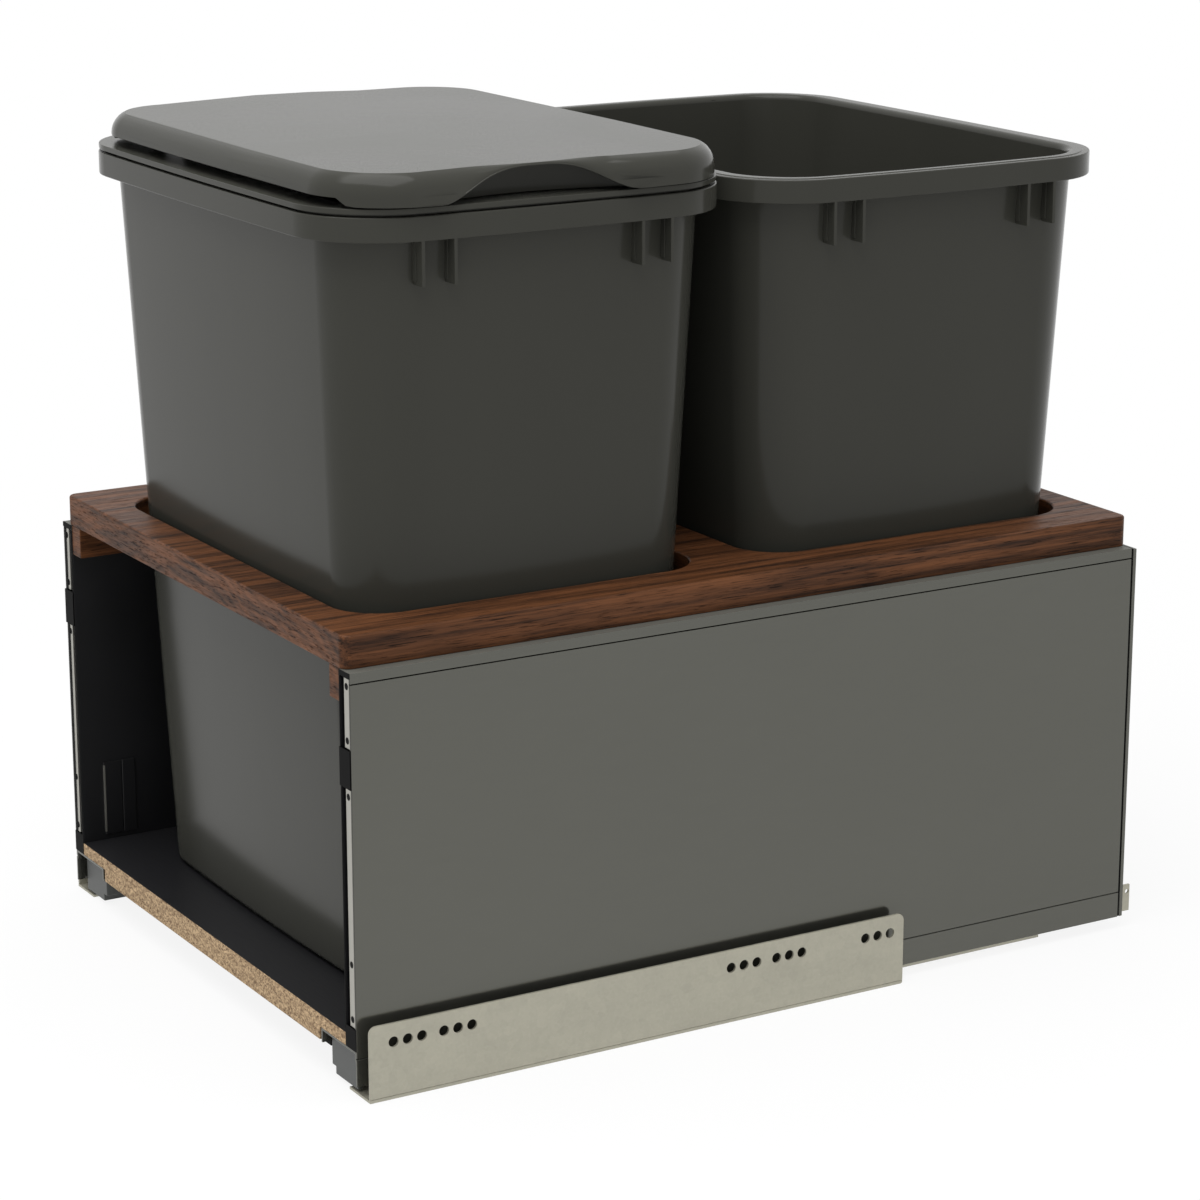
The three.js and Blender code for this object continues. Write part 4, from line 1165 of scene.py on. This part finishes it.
def make_screw(node, outward):
    """A pan-head screw with a cross recess; outward is the way that its head looks."""
    low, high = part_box(node)
    outward, size = Vector(outward), high - low
    reach = abs(size.dot(outward))
    head = sorted(size)[1] / 2
    rise, point = mm(2, 1.2)
    shank = rise - reach
    profile = ((0, 1), (0.5, 0.97), (0.78, 0.84), (0.93, 0.56), (1, 0.2), (1, 0))
    points = [(share * head, lift * rise) for share, lift in profile]
    points += [(head / 2, 0), (head / 2, shank + point), (0, shank)]
    bm = bmesh.new()
    verts = [bm.verts.new((x, 0, z)) for x, z in points]
    edges = [bm.edges.new(pair) for pair in zip(verts, verts[1:])]
    bmesh.ops.spin(
        bm, geom=verts + edges, cent=(0, 0, 0), axis=(0, 0, 1), dvec=(0, 0, 0),
        angle=math.tau, steps=24, use_merge=True)
    bmesh.ops.remove_doubles(bm, verts=bm.verts, dist=1e-6)
    bmesh.ops.recalc_face_normals(bm, faces=bm.faces)
    arm, slot, floor = head * 0.55, head * 0.13, rise * 0.35
    bm = carve(bm, *(
        new_box((-x, -y, floor), (x, y, rise * 2)) for x, y in ((arm, slot), (slot, arm))))
    seat = (low + high) / 2 + outward * (reach / 2 - rise)
    turn = outward.to_track_quat("Z", "Y").to_matrix().to_4x4()
    bmesh.ops.transform(bm, matrix=Matrix.Translation(seat) @ turn, verts=bm.verts)
    stand_for(node, bm, "zinc")


SCREWS = {"back_screw": (0, 1, 0), "floor_screw": (0, 0, -1), "cleat_screw": (0, 0, -1)}

# Pieces that are their solids with rounded edges: the node, with {} for its side or number, then
# the finish, the rounding's width in mm and its segments

ROUNDED = (
    ("side_inner_skin_{}", SIDES, "dark_steel", 0.3, 2),
    ("front_fixing_strip_upper_{}", SIDES, "zinc", 0.2, 2),
    ("front_fixing_strip_lower_{}", SIDES, "zinc", 0.2, 2),
    ("board_cleat_{}", SIDES, "walnut", 0.8, 3),
    ("drawer_rail_{}", SIDES, "galvanised", 0.3, 2),
    ("rear_hook_{}", SIDES, "galvanised", 0.25, 2),
    ("locking_device_{}", SIDES, "grey_plastic", 0.5, 3),
    ("lid_hinge_pin_{}", (1, 2), "zinc", 0.3, 2),
    ("drawer_floor", (0,), "chipboard", 0.3, 2),
    ("back_panel", (0,), "side_grey", 0.4, 3),
)


class WASTEUNIT_OT_fittings(bpy.types.Operator):
    """Makes the screws, and the pieces that are their solids with rounded edges"""
    bl_idname = "waste_unit.fittings"
    bl_label = "Screws and plain pieces"

    def execute(self, context):
        for kind, outward in SCREWS.items():
            for index in (1, 2):
                for side in SIDES:
                    make_screw(f"{kind}_{index}_{side}", outward)
        for pattern, ends, slot, width, segments in ROUNDED:
            for end in ends:
                node = pattern.format(end)
                bm = copy_of(node)
                round_sharp(bm, width * MM, segments)
                stand_for(node, bm, slot)
        return {"FINISHED"}


# ---- stage

def seen_mask(graph):
    """1 where the camera, a gloss or a see-through surface looks, 0 for light on the object."""
    rays = [Wire(graph, graph.node("ShaderNodeLightPath", output=name))
            for name in ("Is Camera Ray", "Is Glossy Ray", "Is Transmission Ray")]
    return rays[0].most(rays[1]).most(rays[2])


def make_floor(stage):
    """A pale floor that shows white, with some of the object's shadow near the middle."""
    bm = bmesh.new()
    bmesh.ops.create_grid(bm, x_segments=1, y_segments=1, size=stage.floor_size / 2)
    floor = object_of(bm, "floor")
    material = bpy.data.materials.new("pale_floor")
    graph = Graph(material)
    x, y = graph.part(graph.place(), "X"), graph.part(graph.place(), "Y")
    away = (x * x + y * y).root().between(0.45, 1.3)
    shown = seen_mask(graph) * (1 - stage.shadow * (1 - away))
    matt = graph.node("ShaderNodeBsdfDiffuse", {}, {"Color": (0.9, 0.9, 0.9, 1)})
    white = graph.node("ShaderNodeEmission", {}, {"Color": (1, 1, 1, 1), "Strength": 1})
    surface = graph.node("ShaderNodeMixShader", {}, {0: shown, 1: matt, 2: white})
    graph.node("ShaderNodeOutputMaterial", {}, {"Surface": surface})
    floor.data.materials.append(material)


def make_camera(scene):
    """The photo's camera: a long lens that looks down at the front right corner."""
    azimuth, height, distance = math.radians(59.311), math.radians(15.160), 2.26381
    target = Vector((-0.01366, 0.01116, 0.20102))
    outward = Vector((
        math.sin(azimuth) * math.cos(height), -math.cos(azimuth) * math.cos(height),
        math.sin(height)))
    lens = bpy.data.cameras.new("camera")
    lens.sensor_width, lens.lens, lens.clip_end = 36, 106.97, 50
    scene.camera = placed("camera", lens)
    scene.camera.location = target + outward * distance
    scene.camera.rotation_euler = (-outward).to_track_quat("-Z", "Y").to_euler()


def make_light(scene, stage):
    """An even white world and one lamp overhead."""
    scene.world = bpy.data.worlds.new("studio")
    graph = Graph(scene.world)
    strength = seen_mask(graph) * (1 - stage.sky) + stage.sky
    sky = graph.node("ShaderNodeBackground", {}, {
        "Color": (1, 1, 1, 1), "Strength": strength})
    graph.node("ShaderNodeOutputWorld", {}, {"Surface": sky})
    lamp = bpy.data.lights.new("overhead", "AREA")
    lamp.shape = "RECTANGLE"
    lamp.energy, lamp.size, lamp.size_y = stage.key, 2.4, 2.4
    overhead = placed("overhead", lamp)
    overhead.location = (0.3, -0.6, 2.6)
    aim = Vector((0, 0, 0.2)) - overhead.location
    overhead.rotation_euler = aim.to_track_quat("-Z", "Y").to_euler()


class WASTEUNIT_OT_stage(bpy.types.Operator):
    """Makes the camera, the pale floor and the studio light"""
    bl_idname = "waste_unit.stage"
    bl_label = "Stage"

    def execute(self, context):
        scene, stage = context.scene, unit().stage
        scene.view_settings.view_transform = "Standard"
        make_camera(scene)
        make_floor(stage)
        make_light(scene, stage)
        return {"FINISHED"}


class WASTEUNIT_PT_pieces(bpy.types.Panel):
    """Lists the pieces that can be made"""
    bl_idname = "WASTEUNIT_PT_pieces"
    bl_label = "Waste unit"
    bl_space_type = "VIEW_3D"
    bl_region_type = "UI"
    bl_category = "Waste unit"

    def draw(self, context):
        for operator in OPERATORS:
            self.layout.operator(operator.bl_idname)


OPERATORS = (
    WASTEUNIT_OT_bins, WASTEUNIT_OT_drawer, WASTEUNIT_OT_runners, WASTEUNIT_OT_fittings,
    WASTEUNIT_OT_stage,
)
GROUPS = (TubSizes, LidSizes, BoardSizes, RunnerSizes, Finishes, StageSettings, WasteUnit)


def register():
    for item in (*GROUPS, *OPERATORS, WASTEUNIT_PT_pieces):
        bpy.utils.register_class(item)
    bpy.types.Scene.waste_unit = PointerProperty(type=WasteUnit, name="Waste unit")


def unregister():
    del bpy.types.Scene.waste_unit
    for item in reversed((*GROUPS, *OPERATORS, WASTEUNIT_PT_pieces)):
        bpy.utils.unregister_class(item)


def main():
    register()
    for operator in OPERATORS:
        family, _, piece = operator.bl_idname.partition(".")
        getattr(getattr(bpy.ops, family), piece)()


if __name__ == "__main__":
    main()
